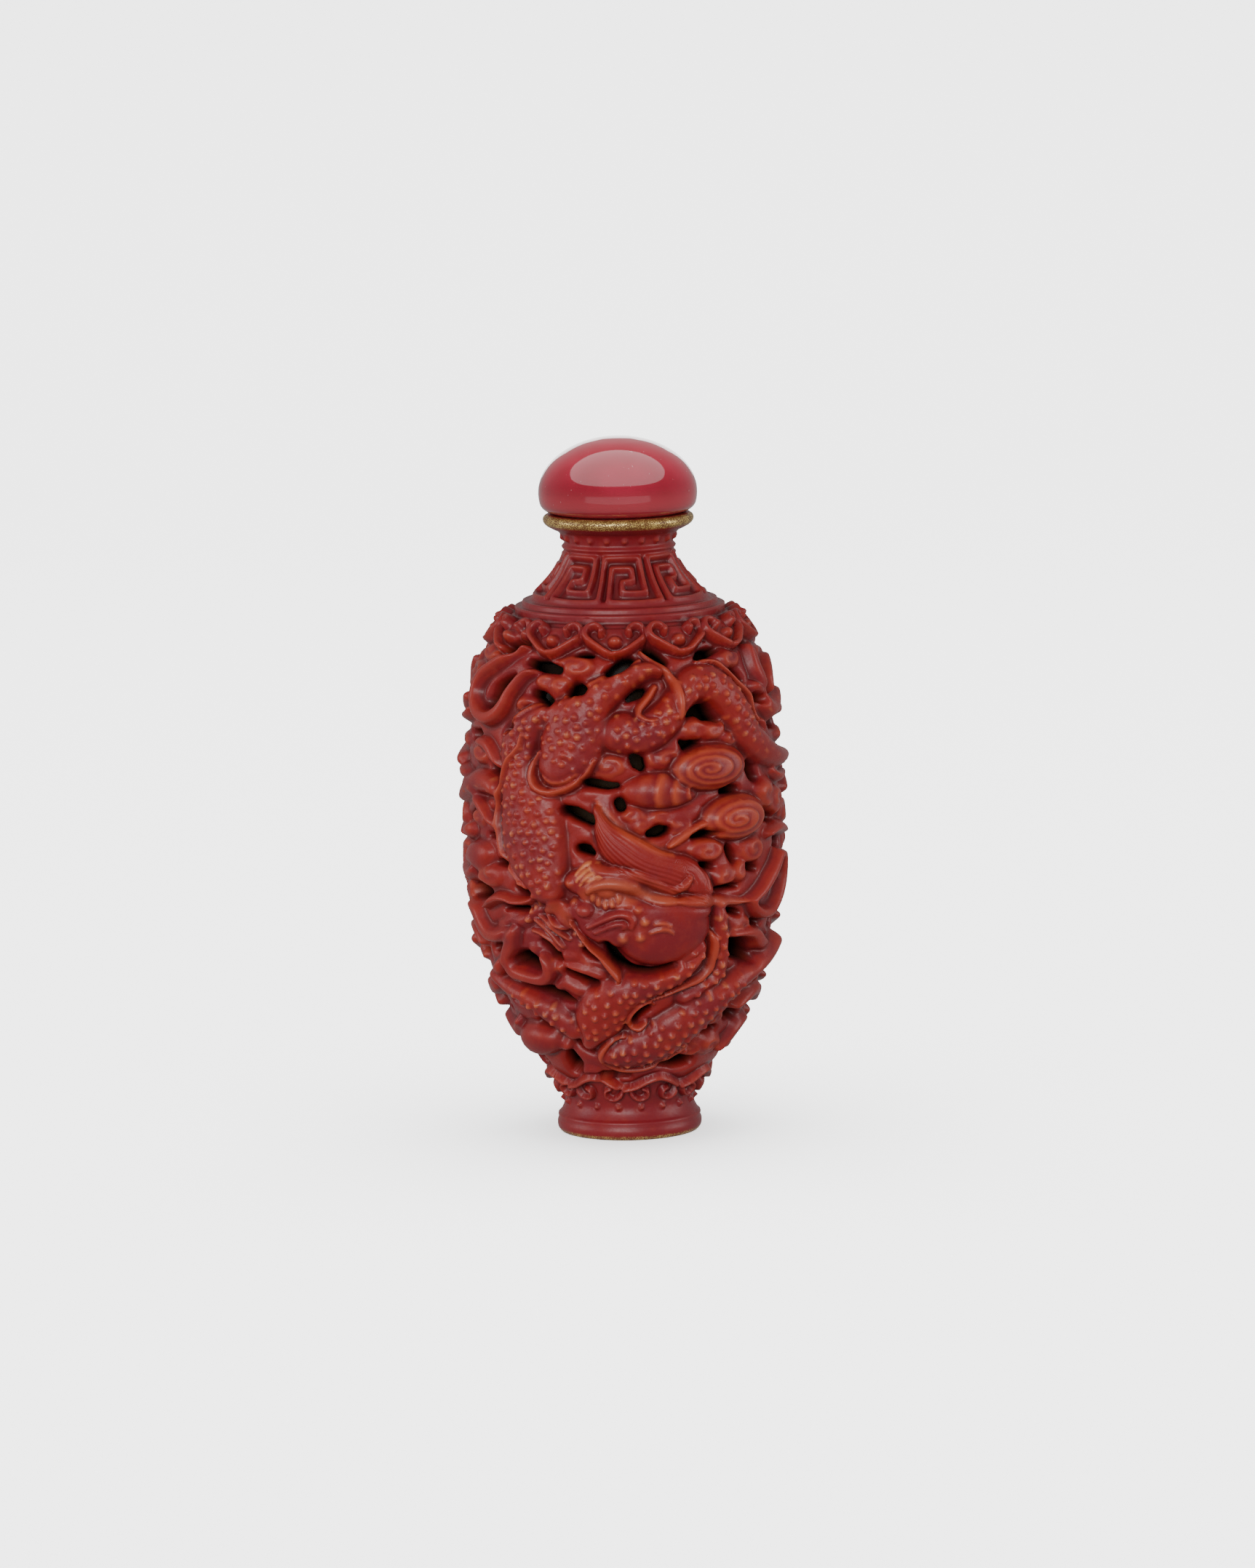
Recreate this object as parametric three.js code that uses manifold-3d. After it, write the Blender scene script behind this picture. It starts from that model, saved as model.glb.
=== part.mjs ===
// Reticulated snuff bottle of moulded porcelain, with its glass stopper.
// Millimetres, +Z up, the origin at the centre of the foot where it stands.
// The bottle is one piece: an inner vessel with a narrow neck, and an openwork outer wall of
// dragons among clouds that joins it at the shoulder and at the foot.
import * as THREE from 'three';
import { mergeVertices } from 'three/addons/utils/BufferGeometryUtils.js';
import Module from 'manifold-3d';

const wasm = await Module();
wasm.setup();

// Driving dimensions
const bottleHeight = 71.3;
const stopperHeight = 8.7;
const stopperRadius = 8.95;
const stopperSeat = 7.6;
const boreRadius = 3.2;
const groundDepth = 1.1;
const skinThickness = 1.4;
const gapWidth = 2.3;
const vesselWall = 1.3;
const gapFrom = 9.2;
const gapTo = 56.6;
const chamberFloor = 4.6;
const chamberTop = 60.4;
const footRecessRadius = 5.9;
const footRecessDepth = 1.3;
const dragonsAround = 2;
const lappetsAround = 12;
const lappetPhase = -2.5;
const fretsAround = 8;
const fretPhase = 7.5;
const fretFrom = 61.9;
const fretTo = 66.5;
const footScrollsAround = 8;
const footScrollPhase = 20.5;

// Fineness: columns around the carved surface, its faces once thinned, and sides of what is turned
const columns = 240;
const carvedFaces = 6200;
const innerSides = 18;
const stopperSides = 24;

// Mean radius of the carved wall, by height: [height, radius]
const wall = [
  [0, 7.9], [0.9, 8.2], [2.4, 7.4], [4.4, 7.6], [7, 8.9], [11, 11.2], [16, 13.5], [23, 15.6],
  [31, 16.85], [41, 17.05], [50, 16.35], [55, 15.1], [57.9, 13.8], [60.4, 11.9], [62.2, 9.7],
  [64.6, 7.5], [67, 6.3], [68.6, 6.5], [70.3, 8.45], [71, 8.35],
];

// Dragon bodies as strokes along the wall: how far they stand out, and the path as
// [angle in degrees, height, half width]
const bodies = [
  { lift: 1.6, path: [[-25, 30.8, 1.2], [-31, 31.8, 2.8], [-38, 34.4, 3.4], [-42, 38, 3.6],
    [-42, 42, 3.3], [-43, 44.8, 3], [-39, 47.3, 2.7], [-32, 48.8, 2.5], [-24, 49.7, 2]] },
  { lift: 2.1, path: [[-26, 43.6, 2.2], [-24, 45.6, 3.7], [-17, 49.2, 3], [-9, 51.4, 2.3],
    [-1, 53.2, 1.9], [6, 54.3, 1.6], [13, 54.7, 1]] },
  { lift: 1.6, path: [[-9, 47.6, 1.5], [-3, 47.9, 2.2], [4, 48.2, 2.4], [11, 49, 2.3], [17, 50.4, 2.1],
    [22, 52, 2], [28, 53.3, 2.2], [35, 53.5, 2.3], [42, 52.3, 2.4], [48, 50, 2.5], [53, 48, 2.3],
    [60, 46.4, 2.1], [68, 45, 2], [77, 44, 1.8], [88, 43.5, 1.2]] },
  { lift: 1.5, path: [[37.5, 28, 1.1], [38.5, 25, 1.8], [39, 22, 1.9], [37.5, 19, 1.7]] },
  { lift: 1.7, path: [[31, 24.2, 1], [26, 22.8, 1.7], [18, 21, 1.8], [8, 19.6, 2], [-2, 18, 2.6],
    [-9, 16, 3.2], [-14, 13.8, 2.7], [-19, 12.6, 1.4]] },
  { lift: 1.9, path: [[-13, 11.1, 1.6], [-9, 11.2, 2.3], [-3, 11.2, 2.5], [6, 11.6, 2.9], [15, 12.6, 3.1],
    [24, 14.2, 3], [33, 16.2, 2.7], [42, 18, 2.3], [51, 19.3, 1.9], [60, 20.2, 1.7], [70, 21.3, 1.6],
    [82, 22.5, 1.2]] },
  { lift: 1.4, path: [[-68, 19.8, 1.2], [-58, 18.3, 1.6], [-50, 17, 1.9], [-42, 16, 2], [-34, 14.8, 1.9],
    [-26, 13.4, 1.3]] },
  { lift: 1.3, path: [[-86, 39.3, 0.9], [-73, 41, 1.3], [-62, 41.7, 1.5], [-53, 41.1, 1.2]] },
];

// Flames, whiskers, horns and claws: thinner strokes in the same measure
const ribbons = [
  { lift: 1.8, path: [[-44, 57.2, 0.8], [-58, 54.8, 0.9], [-70, 52.4, 0.9], [-72, 50.4, 0.9], [-66, 49.2, 0.9],
    [-54, 49.3, 0.9], [-46, 51.9, 0.9], [-38, 54.9, 0.7]] },
  { lift: 1.5, path: [[-91, 42.2, 0.6], [-78, 41.9, 0.8], [-68, 40, 0.8], [-55, 37.8, 0.6]] },
  { lift: 1.6, path: [[-64, 27.9, 0.6], [-57, 29, 0.9], [-50, 29.5, 0.9], [-43, 28.9, 0.9], [-34, 30.2, 0.6]] },
  { lift: 1.8, path: [[-84, 19.6, 0.9], [-66, 20.8, 1], [-56, 22.8, 1.1], [-45, 24.9, 0.8]] },
  { lift: 1.8, path: [[-49, 23.6, 0.8], [-52.5, 21.6, 0.9], [-47, 19.9, 0.9], [-38, 19.5, 1], [-33.5, 20.9, 1],
    [-35.5, 22.8, 0.7]] },
  { lift: 1.8, path: [[49, 28.5, 0.8], [60, 30.3, 1], [70, 32.5, 1.1], [77, 31.6, 1], [73, 28.2, 1],
    [63, 26.2, 1], [54, 27.3, 0.8]] },
  { lift: 1.5, path: [[43, 25.3, 0.8], [54, 24.3, 0.9], [66, 22.6, 0.7]] },
  { lift: 1.9, path: [[-21.5, 27.3, 0.6], [-17, 25.2, 0.8], [-11, 22.9, 1], [-4.5, 20.8, 0.6]] },
  { lift: 2.4, path: [[20, 29.3, 0.9], [34, 28.6, 0.9], [49.5, 28.5, 0.5]] },
  { lift: 2.6, path: [[-12, 31, 0.8], [-5, 31.9, 1.1], [3, 31.9, 1.1], [12, 30.4, 0.9], [22.5, 31.4, 0.5]] },
  { lift: 2, path: [[9, 56.8, 0.5], [15, 55.6, 0.9], [19.5, 53, 0.9], [21, 49.9, 0.6]] },
  { lift: 1.7, path: [[55, 57, 0.7], [64, 54, 1], [68, 51.5, 1], [78, 50.2, 0.8]] },
  { lift: 1.6, path: [[70, 56.6, 0.7], [76, 53.6, 1], [88, 51.6, 0.8]] },
  { lift: 1.6, path: [[60, 14.6, 0.8], [70, 16.2, 1], [84, 16.4, 0.8]] },
];

// Clouds, the head's masses and leaves: [angle, height, half length, half height, tilt in degrees, lift]
const mounds = [
  [35.5, 44, 5, 2.8, 0, 1.7], [13.5, 42, 4.4, 2.2, -4, 1.7], [45, 38, 4.8, 2.6, 0, 1.7],
  [33, 34.4, 2.8, 1.8, 0, 0.9], [53, 34.2, 2.7, 2, 0, 0.9], [38.5, 31.6, 2.1, 1.4, 0, 0.9],
  [-49, 11.9, 3.5, 2.1, 4, 1.5], [6, 38.5, 2.4, 1.6, 0, 0.6], [-66, 33, 4.1, 2, 8, 1.2],
  [68, 39.5, 2.8, 2.6, 0, 1.4], [82, 36.6, 2.6, 2.2, 0, 1.3], [-80, 31.6, 2.4, 2.4, 20, 1.3],
  [76, 12.6, 2.7, 1.9, 10, 1.3], [-72, 12, 2.5, 2, -10, 1.2], [-78, 54.6, 2.6, 1.7, -20, 1.3],
  [13, 26.2, 5.4, 4.4, 0, 2.2], [-6, 28.2, 4.2, 2.8, -12, 1.9], [-23, 27.2, 2.9, 2.3, -28, 1.7],
  [8, 34.2, 6.4, 2.8, -22, 1.8], [-14, 32.6, 2.1, 1.7, 20, 1.6],
];

// Openings through the outer wall: [angle, height, angle, height, half width] of each slot
const slots = [
  [-58, 57, -50, 57, 0.8], [-38, 55.7, -29, 55.2, 0.8], [-3, 55.6, 3.5, 56.2, 0.7],
  [-36.5, 52.6, -29.5, 51.5, 0.8], [-60, 51.2, -53, 52.1, 1], [-78, 46.4, -67, 46.6, 0.8],
  [28, 49.6, 37, 50.2, 0.9], [-14, 42.7, -4, 42.5, 0.6], [-21.5, 39.6, -12.5, 38.4, 0.9],
  [10, 37.2, 16, 37.8, 0.7], [54, 42.6, 62, 42.6, 1], [-57, 44.2, -51, 43.6, 0.9], [63, 29, 69, 29.6, 0.8],
  [46, 22.4, 55, 22.4, 1.1], [52, 16.8, 62, 17, 0.8], [26, 9.6, 35, 9.8, 0.7], [-45, 18.4, -29, 17.4, 0.7],
  [-46, 21.7, -40, 21.9, 0.8], [-7.5, 24, -4, 22.8, 0.7], [-82, 24.4, -70, 24.6, 1],
  [-84, 36.4, -74, 36.8, 0.9], [-24, 20.8, -15, 20.2, 0.7],
];

// One side of a ruyi head's rim: [across, up] in fractions of its half width and height
const ruyiRim = [[0, 0], [0.5, 0.2], [0.9, 0.5], [0.93, 0.82], [0.64, 1], [0.3, 0.8]];

// The line of one fret: [across, up] in fractions of its cell
const fretLine = [[0.95, 1], [0.95, 0.03], [0.03, 0.03], [0.06, 0.8], [0.62, 0.8], [0.62, 0.3], [0.36, 0.3],
  [0.36, 0.55]];

// Plain rings round the neck, the shoulder and the foot: [height, half width, lift]
const rings = [[60.6, 0.45, 0.5], [61.4, 0.35, 0.4], [67.1, 0.4, 0.4], [2.5, 0.4, 0.3], [4.9, 0.4, 0.4]];

// Point on a smooth curve through a list of points, for t from 0 to 1
function through(points, t) {
  const at = t * (points.length - 1);
  const i = Math.min(Math.floor(at), points.length - 2);
  const u = at - i;
  const p = [i - 1, i, i + 1, i + 2].map((k) => points[Math.min(Math.max(k, 0), points.length - 1)]);
  return p[1].map((_, axis) => {
    const [a, b, c, d] = p.map((q) => q[axis]);
    return b + 0.5 * u * (c - a + u * (2 * a - 5 * b + 4 * c - d + u * (3 * (b - c) + d - a)));
  });
}

// The wall's profile as closely spaced [height, radius, length along the profile]
const profile = [];
for (let i = 0; i <= 600; i++) {
  const [height, radius] = through(wall, i / 600);
  const last = profile[profile.length - 1];
  const step = last ? Math.hypot(height - last[0], radius - last[1]) : 0;
  profile.push([height, radius, (last ? last[2] : 0) + step]);
}

function lookUp(value, from, to) {
  const k = Math.min(Math.max(profile.findIndex((row) => row[from] >= value), 1), profile.length - 1);
  const [a, b] = [profile[k - 1], profile[k]];
  return THREE.MathUtils.mapLinear(value, a[from], b[from], a[to], b[to]);
}
const radiusAt = (height) => lookUp(height, 0, 1);
const lengthAt = (height) => lookUp(height, 0, 2);
const heightAt = (length) => lookUp(length, 2, 0);

// Point at a given lift off the wall, by angle in degrees and height
function onWall(degrees, height, lift) {
  const [low, high] = [radiusAt(height - 0.3), radiusAt(height + 0.3)];
  const normal = new THREE.Vector2(0.6, low - high).normalize();
  const radius = radiusAt(height) + lift * normal.x;
  const angle = THREE.MathUtils.degToRad(degrees - 90);
  return new THREE.Vector3(
    radius * Math.cos(angle), radius * Math.sin(angle), height + lift * normal.y);
}

// The carving as a field of lifts: rows along the profile, columns over one dragon's share
const rowLengths = [];
for (let length = 0; length < lengthAt(71); length += heightAt(length) > 61 ? 0.22 : 0.42) rowLengths.push(length);
const fieldColumns = columns / dragonsAround;
const fieldDegrees = 360 / columns;
const field = rowLengths.map((length) => {
  const height = heightAt(length);
  const into = THREE.MathUtils.smoothstep(height, gapFrom - 0.9, gapFrom + 0.6)
    - THREE.MathUtils.smoothstep(height, gapTo - 1.2, gapTo - 0.2);
  return new Float64Array(fieldColumns).fill(-groundDepth * into);
});

// Raises the field to a rounded or, with a higher power, a flatter and steeper form at one place
function stamp(degrees, height, halfLength, halfHeight, tilt, lift, power) {
  const [centre, radius] = [lengthAt(height), radiusAt(height)];
  const [cos, sin] = [Math.cos(tilt), Math.sin(tilt)];
  const reach = Math.max(halfLength, halfHeight);
  const halfColumns = Math.ceil(THREE.MathUtils.radToDeg(reach / radius) / fieldDegrees);
  const middle = Math.round(degrees / fieldDegrees);
  rowLengths.forEach((length, row) => {
    if (Math.abs(length - centre) > reach) return;
    for (let column = middle - halfColumns; column <= middle + halfColumns; column++) {
      const x = THREE.MathUtils.degToRad(column * fieldDegrees - degrees) * radius;
      const y = length - centre;
      const far = Math.hypot((x * cos + y * sin) / halfLength, (y * cos - x * sin) / halfHeight);
      if (far >= 1) continue;
      const rise = (1 - far ** power) ** (1 / power);
      const index = THREE.MathUtils.euclideanModulo(column, fieldColumns);
      const low = Math.min(field[row][index], 0);
      field[row][index] = Math.max(field[row][index], low + (lift - low) * rise);
    }
  });
}

// A stroke of carving: stamps closely spaced along its path
function stroke(path, lift, power, smooth = true) {
  const steps = path.length * (smooth ? 14 : 16);
  for (let i = 0; i <= steps; i++) {
    const t = i / steps;
    const k = Math.min(Math.floor(t * (path.length - 1)), path.length - 2);
    const straight = path[k].map((a, axis) => a + (path[k + 1][axis] - a) * (t * (path.length - 1) - k));
    const [degrees, height, half] = smooth ? through(path, t) : straight;
    stamp(degrees, height, half, half, 0, lift, power);
  }
}

// A ruyi head with its tip at the given height: a low plate, a rolled rim and a boss in the middle
function ruyi(degrees, tip, halfWidth, tall, lift) {
  const [foot, radius] = [lengthAt(tip), radiusAt(tip + tall / 2)];
  const place = (x, y) => [degrees + THREE.MathUtils.radToDeg(x * halfWidth / radius), heightAt(foot + y * tall)];
  stamp(...place(0, 0.58), halfWidth * 0.8, Math.abs(tall) * 0.45, 0, lift * 0.4, 6);
  for (const side of [-1, 1]) stroke(ruyiRim.map(([x, y]) => [...place(side * x, y), 0.55]), lift, 2.5);
  stamp(...place(0, 0.45), 0.75, 0.75, 0, lift * 1.2, 2);
}

// One square spiral of the fret on the neck
function fret(degrees) {
  const [low, high] = [lengthAt(fretFrom), lengthAt(fretTo)];
  const cell = 360 / fretsAround;
  stroke(fretLine.map(([x, y]) => [degrees + (x - 0.5) * cell, heightAt(low + y * (high - low)), 0.36]), 0.5, 3,
    false);
}

function carve() {
  const share = 360 / dragonsAround;
  const around = (count, phase) => Array.from(
    { length: count / dragonsAround }, (_, i) => phase + i * share * dragonsAround / count);
  for (const [height, half, lift] of rings) {
    for (let column = 0; column < fieldColumns; column++) {
      stamp(column * fieldDegrees, height, half, half, 0, lift, 2);
    }
  }
  for (const { lift, path } of bodies) stroke(path, lift, 2);
  for (const { lift, path } of ribbons) stroke(path, lift, 3);
  for (const [degrees, height, halfLength, halfHeight, tilt, lift] of mounds) {
    stamp(degrees, height, halfLength, halfHeight, THREE.MathUtils.degToRad(tilt), lift, 2.6);
  }
  for (const degrees of around(lappetsAround, lappetPhase)) ruyi(degrees, 56.4, 3.6, 4.1, 1);
  for (const degrees of around(footScrollsAround, footScrollPhase)) ruyi(degrees, 8.6, 3, -2.9, 0.9);
  for (const degrees of around(fretsAround, fretPhase)) fret(degrees);
}

// The sum of squared distances from a point to planes, held as ten numbers
function addPlane(quadric, normal, offset, weight) {
  const p = [normal.x, normal.y, normal.z, offset];
  let k = 0;
  for (let i = 0; i < 4; i++) {
    for (let j = i; j < 4; j++) quadric[k++] += weight * p[i] * p[j];
  }
}
const errorAt = (q, { x, y, z }) => q[0] * x * x + q[4] * y * y + q[7] * z * z + q[9]
  + 2 * (q[1] * x * y + q[2] * x * z + q[3] * x + q[5] * y * z + q[6] * y + q[8] * z);

// Thins a closed mesh to a number of faces, joining first the points that change its shape least
function thinned(geometry, wanted) {
  const place = geometry.attributes.position;
  const points = Array.from({ length: place.count }, (_, i) => new THREE.Vector3().fromBufferAttribute(place, i));
  const quadrics = points.map(() => new Float64Array(10));
  const facesOf = points.map(() => new Set());
  const version = new Uint32Array(points.length);
  const faces = [];
  for (let i = 0; i < geometry.index.count; i += 3) {
    const face = [0, 1, 2].map((k) => geometry.index.getX(i + k));
    const plane = new THREE.Triangle(...face.map((v) => points[v]));
    const normal = plane.getNormal(new THREE.Vector3());
    face.forEach((v) => {
      addPlane(quadrics[v], normal, -normal.dot(points[v]), plane.getArea());
      facesOf[v].add(face);
    });
    faces.push(face);
  }
  const neighbours = (v) => new Set([...facesOf[v]].flat().filter((w) => w !== v));
  const heap = [];
  const swap = (i, j) => ([heap[i], heap[j]] = [heap[j], heap[i]]);
  function push(entry) {
    let i = heap.push(entry) - 1;
    for (let up; i > 0 && heap[up = (i - 1) >> 1].cost > heap[i].cost; i = up) swap(i, up);
  }
  function pop() {
    swap(0, heap.length - 1);
    const least = heap.pop();
    for (let i = 0, next; (next = 2 * i + 1) < heap.length; i = next) {
      if (next + 1 < heap.length && heap[next + 1].cost < heap[next].cost) next++;
      if (heap[i].cost <= heap[next].cost) break;
      swap(i, next);
    }
    return least;
  }
  function offer(a, b) {
    const q = quadrics[a].map((value, k) => value + quadrics[b][k]);
    const middle = points[a].clone().lerp(points[b], 0.5);
    const options = [points[a], points[b], middle];
    const solve = new THREE.Matrix3().set(q[0], q[1], q[2], q[1], q[4], q[5], q[2], q[5], q[7]);
    if (Math.abs(solve.determinant()) > 1e-9) {
      const best = new THREE.Vector3(-q[3], -q[6], -q[8]).applyMatrix3(solve.invert());
      if (best.distanceTo(middle) < points[a].distanceTo(points[b])) options.push(best);
    }
    const costs = options.map((point) => errorAt(q, point));
    const k = costs.indexOf(Math.min(...costs));
    const stamps = [version[a], version[b]];
    push({ cost: costs[k] + 1e-7 * points[a].distanceTo(points[b]), a, b, point: options[k].clone(), stamps });
  }
  const turnsOver = (v, other, point) => [...facesOf[v]].some((face) => {
    if (face.includes(other)) return false;
    const before = new THREE.Triangle(...face.map((w) => points[w])).getNormal(new THREE.Vector3());
    const after = new THREE.Triangle(...face.map((w) => (w === v ? point : points[w])));
    return after.getArea() < 1e-4 || before.dot(after.getNormal(new THREE.Vector3())) < 0.3;
  });
  for (const face of faces) {
    face.forEach((a, k) => {
      const b = face[(k + 1) % 3];
      if (a < b) offer(a, b);
    });
  }
  let left = faces.length;
  while (left > wanted && heap.length) {
    const { a, b, point, stamps } = pop();
    if (stamps[0] !== version[a] || stamps[1] !== version[b]) continue;
    const common = [...neighbours(a)].filter((v) => neighbours(b).has(v));
    if (common.length !== 2 || turnsOver(a, b, point) || turnsOver(b, a, point)) continue;
    for (const face of [...facesOf[b]]) {
      if (face.includes(a)) {
        face.forEach((v) => facesOf[v].delete(face));
        face.length = 0;
        left--;
      } else {
        face[face.indexOf(b)] = a;
        facesOf[a].add(face);
      }
    }
    facesOf[b].clear();
    version[b]++;
    version[a]++;
    points[a].copy(point);
    quadrics[b].forEach((value, k) => (quadrics[a][k] += value));
    for (const v of neighbours(a)) offer(a, v);
  }
  const thin = new THREE.BufferGeometry();
  thin.setAttribute('position', new THREE.Float32BufferAttribute(points.flatMap((p) => p.toArray()), 3));
  thin.setIndex(faces.flat());
  return thin;
}

// A closed mesh as a solid with its faces pointing out
function toSolid(geometry) {
  const place = geometry.attributes.position;
  const corner = [0, 1, 2].map(() => new THREE.Vector3());
  const triangles = [];
  let volume = 0;
  for (let i = 0; i < geometry.index.count; i += 3) {
    const face = [0, 1, 2].map((k) => geometry.index.getX(i + k));
    if (new Set(face).size < 3) continue;
    triangles.push(face);
    face.forEach((v, k) => corner[k].fromBufferAttribute(place, v));
    volume += corner[0].dot(corner[1].cross(corner[2]));
  }
  const triVerts = new Uint32Array(triangles.flatMap((face) => (volume < 0 ? face.reverse() : face)));
  const vertProperties = new Float32Array(place.array);
  return new wasm.Manifold(new wasm.Mesh({ numProp: 3, vertProperties, triVerts }));
}

// A geometry with its shared vertices merged and nothing but positions left
function bare(geometry) {
  for (const name of ['normal', 'uv']) geometry.deleteAttribute(name);
  return mergeVertices(geometry, 1e-4);
}

// Solid of revolution about Z from [radius, height] points that close on the axis or on themselves
function turned(points, sides) {
  const outline = points.map(([radius, height]) => new THREE.Vector2(radius, height));
  return toSolid(bare(new THREE.LatheGeometry(outline, sides).rotateX(Math.PI / 2)));
}

// The outside of the bottle, from the middle of the underside to the middle of the lip
function carvedOutside() {
  carve();
  const rows = [[0, 0], ...rowLengths.map((length) => [radiusAt(heightAt(length)), heightAt(length)]),
    [8.35, 71], [7.9, bottleHeight], [0, bottleHeight]];
  const outline = rows.map(([radius, height]) => new THREE.Vector2(radius, height));
  const surface = new THREE.LatheGeometry(outline, columns);
  const place = surface.attributes.position;
  for (let i = 0; i < place.count; i++) {
    const column = Math.floor(i / rows.length);
    const row = i % rows.length;
    const carved = field[row - 1];
    const lift = carved ? carved[column % fieldColumns] : 0;
    const [radius, height] = rows[row];
    const angle = THREE.MathUtils.degToRad(column * fieldDegrees - 90);
    const flat = new THREE.Vector3(radius * Math.cos(angle), radius * Math.sin(angle), height);
    place.setXYZ(i, ...(carved ? onWall(column * fieldDegrees, height, lift) : flat));
  }
  return toSolid(thinned(bare(surface), carvedFaces));
}

// A slot through the outer wall: a prism with four sides, bent to the wall
function slot([fromDegrees, fromHeight, toDegrees, toHeight, half], turn) {
  const degrees = (fromDegrees + toDegrees) / 2 + turn;
  const height = (fromHeight + toHeight) / 2;
  const run = new THREE.Vector2(
    THREE.MathUtils.degToRad(toDegrees - fromDegrees) * radiusAt(height) / 2,
    (lengthAt(toHeight) - lengthAt(fromHeight)) / 2);
  const length = run.length() + 0.5 * half;
  const corners = [[1, 0.7], [-1, 1], [-1, -0.7], [1, -1]].map(([x, y]) => new THREE.Vector2(
    x * length, y * half).rotateAround(new THREE.Vector2(), run.angle()));
  const depth = groundDepth + skinThickness + 1;
  const prism = new THREE.ExtrudeGeometry(new THREE.Shape(corners), { depth: depth + 3, bevelEnabled: false });
  const shape = bare(prism.translate(0, 0, -depth));
  const place = shape.attributes.position;
  for (let i = 0; i < place.count; i++) {
    const up = heightAt(lengthAt(height) + place.getY(i));
    const across = THREE.MathUtils.radToDeg(place.getX(i) / radiusAt(up));
    place.setXYZ(i, ...onWall(degrees + across, up, place.getZ(i)));
  }
  return toSolid(shape);
}

// The carved outside less the openings, the void between the two walls, the snuff chamber with
// its bore, and the hollow under the foot
function bottle() {
  const ring = (depth) => (height) => [radiusAt(height) - depth, height];
  const inner = [13, 21, 33, 45, 53];
  const skinSide = [gapFrom, ...inner, gapTo].map(ring(groundDepth + skinThickness));
  const vesselSide = inner.map(ring(groundDepth + skinThickness + gapWidth));
  const gap = turned([...skinSide, ...vesselSide.reverse(), skinSide[0]], innerSides);
  const inset = groundDepth + skinThickness + gapWidth + vesselWall;
  const chamber = turned([[0, chamberFloor], [2.4, chamberFloor + 0.6], [4.2, 10],
    ...[15, 24, 36, 49, 56].map(ring(inset)), [boreRadius, chamberTop], [boreRadius, bottleHeight + 1],
    [0, bottleHeight + 1]], innerSides);
  const recess = turned([[0, -1], [footRecessRadius, -1], [footRecessRadius, 0],
    [footRecessRadius - 0.5, footRecessDepth], [0, footRecessDepth]], innerSides);
  const turns = Array.from({ length: dragonsAround }, (_, i) => i * 360 / dragonsAround);
  const openings = turns.flatMap((turn) => slots.map((row) => slot(row, turn)));
  return carvedOutside().subtract(wasm.Manifold.union([gap, chamber, recess, ...openings]));
}

// The stopper: a solid dome that stands on the lip on its flat underside
function stopper() {
  const brim = 2.05;
  const domeSteps = 5;
  const dome = Array.from({ length: domeSteps + 1 }, (_, i) => {
    const angle = Math.PI / 2 * (1 - i / domeSteps);
    return [stopperRadius * Math.sin(angle) ** 0.95, brim + (stopperHeight - brim) * Math.cos(angle) ** 0.95];
  });
  const outline = [[0, 0], [stopperSeat, 0], [8.3, 0.45], [8.75, 1.1], ...dome];
  return turned(outline.map(([radius, height]) => [radius, bottleHeight + height]), stopperSides);
}

// A solid back as a mesh with its own material
function piece(name, solid, material) {
  const { vertProperties, triVerts } = solid.getMesh();
  const geometry = new THREE.BufferGeometry();
  geometry.setAttribute('position', new THREE.BufferAttribute(new Float32Array(vertProperties), 3));
  geometry.setIndex(Array.from(triVerts));
  geometry.computeVertexNormals();
  const mesh = new THREE.Mesh(geometry, material);
  mesh.name = name;
  return mesh;
}

const coralPorcelain = new THREE.MeshStandardMaterial({ color: 0xa23a30, roughness: 0.4, metalness: 0 });
const pinkGlass = new THREE.MeshStandardMaterial({ color: 0xb0243c, roughness: 0.08, metalness: 0 });

const snuffBottle = new THREE.Group();
snuffBottle.add(piece('bottle', bottle(), coralPorcelain));
snuffBottle.add(piece('stopper', stopper(), pinkGlass));

export default snuffBottle;
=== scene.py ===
from math import cos, degrees, pi, radians, sin

import bmesh
import bpy
import numpy as np
from mathutils import Matrix, Vector


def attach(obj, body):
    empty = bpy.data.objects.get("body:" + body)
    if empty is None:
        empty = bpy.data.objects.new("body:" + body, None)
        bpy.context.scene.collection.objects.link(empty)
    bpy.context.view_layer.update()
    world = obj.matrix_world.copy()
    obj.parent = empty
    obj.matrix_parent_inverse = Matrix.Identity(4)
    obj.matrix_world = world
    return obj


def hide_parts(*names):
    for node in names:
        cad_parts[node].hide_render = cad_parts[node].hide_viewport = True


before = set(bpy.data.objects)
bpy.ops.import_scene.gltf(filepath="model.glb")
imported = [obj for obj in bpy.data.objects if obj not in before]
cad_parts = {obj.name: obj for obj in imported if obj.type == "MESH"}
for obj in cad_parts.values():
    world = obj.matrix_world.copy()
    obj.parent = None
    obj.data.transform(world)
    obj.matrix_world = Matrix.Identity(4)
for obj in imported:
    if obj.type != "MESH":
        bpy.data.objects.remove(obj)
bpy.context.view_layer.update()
millimetre = 0.001                               # shapes are worked in millimetres and placed in metres
chance = np.random.default_rng(7)
print("frame loaded:", len(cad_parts), "nodes")

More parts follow.
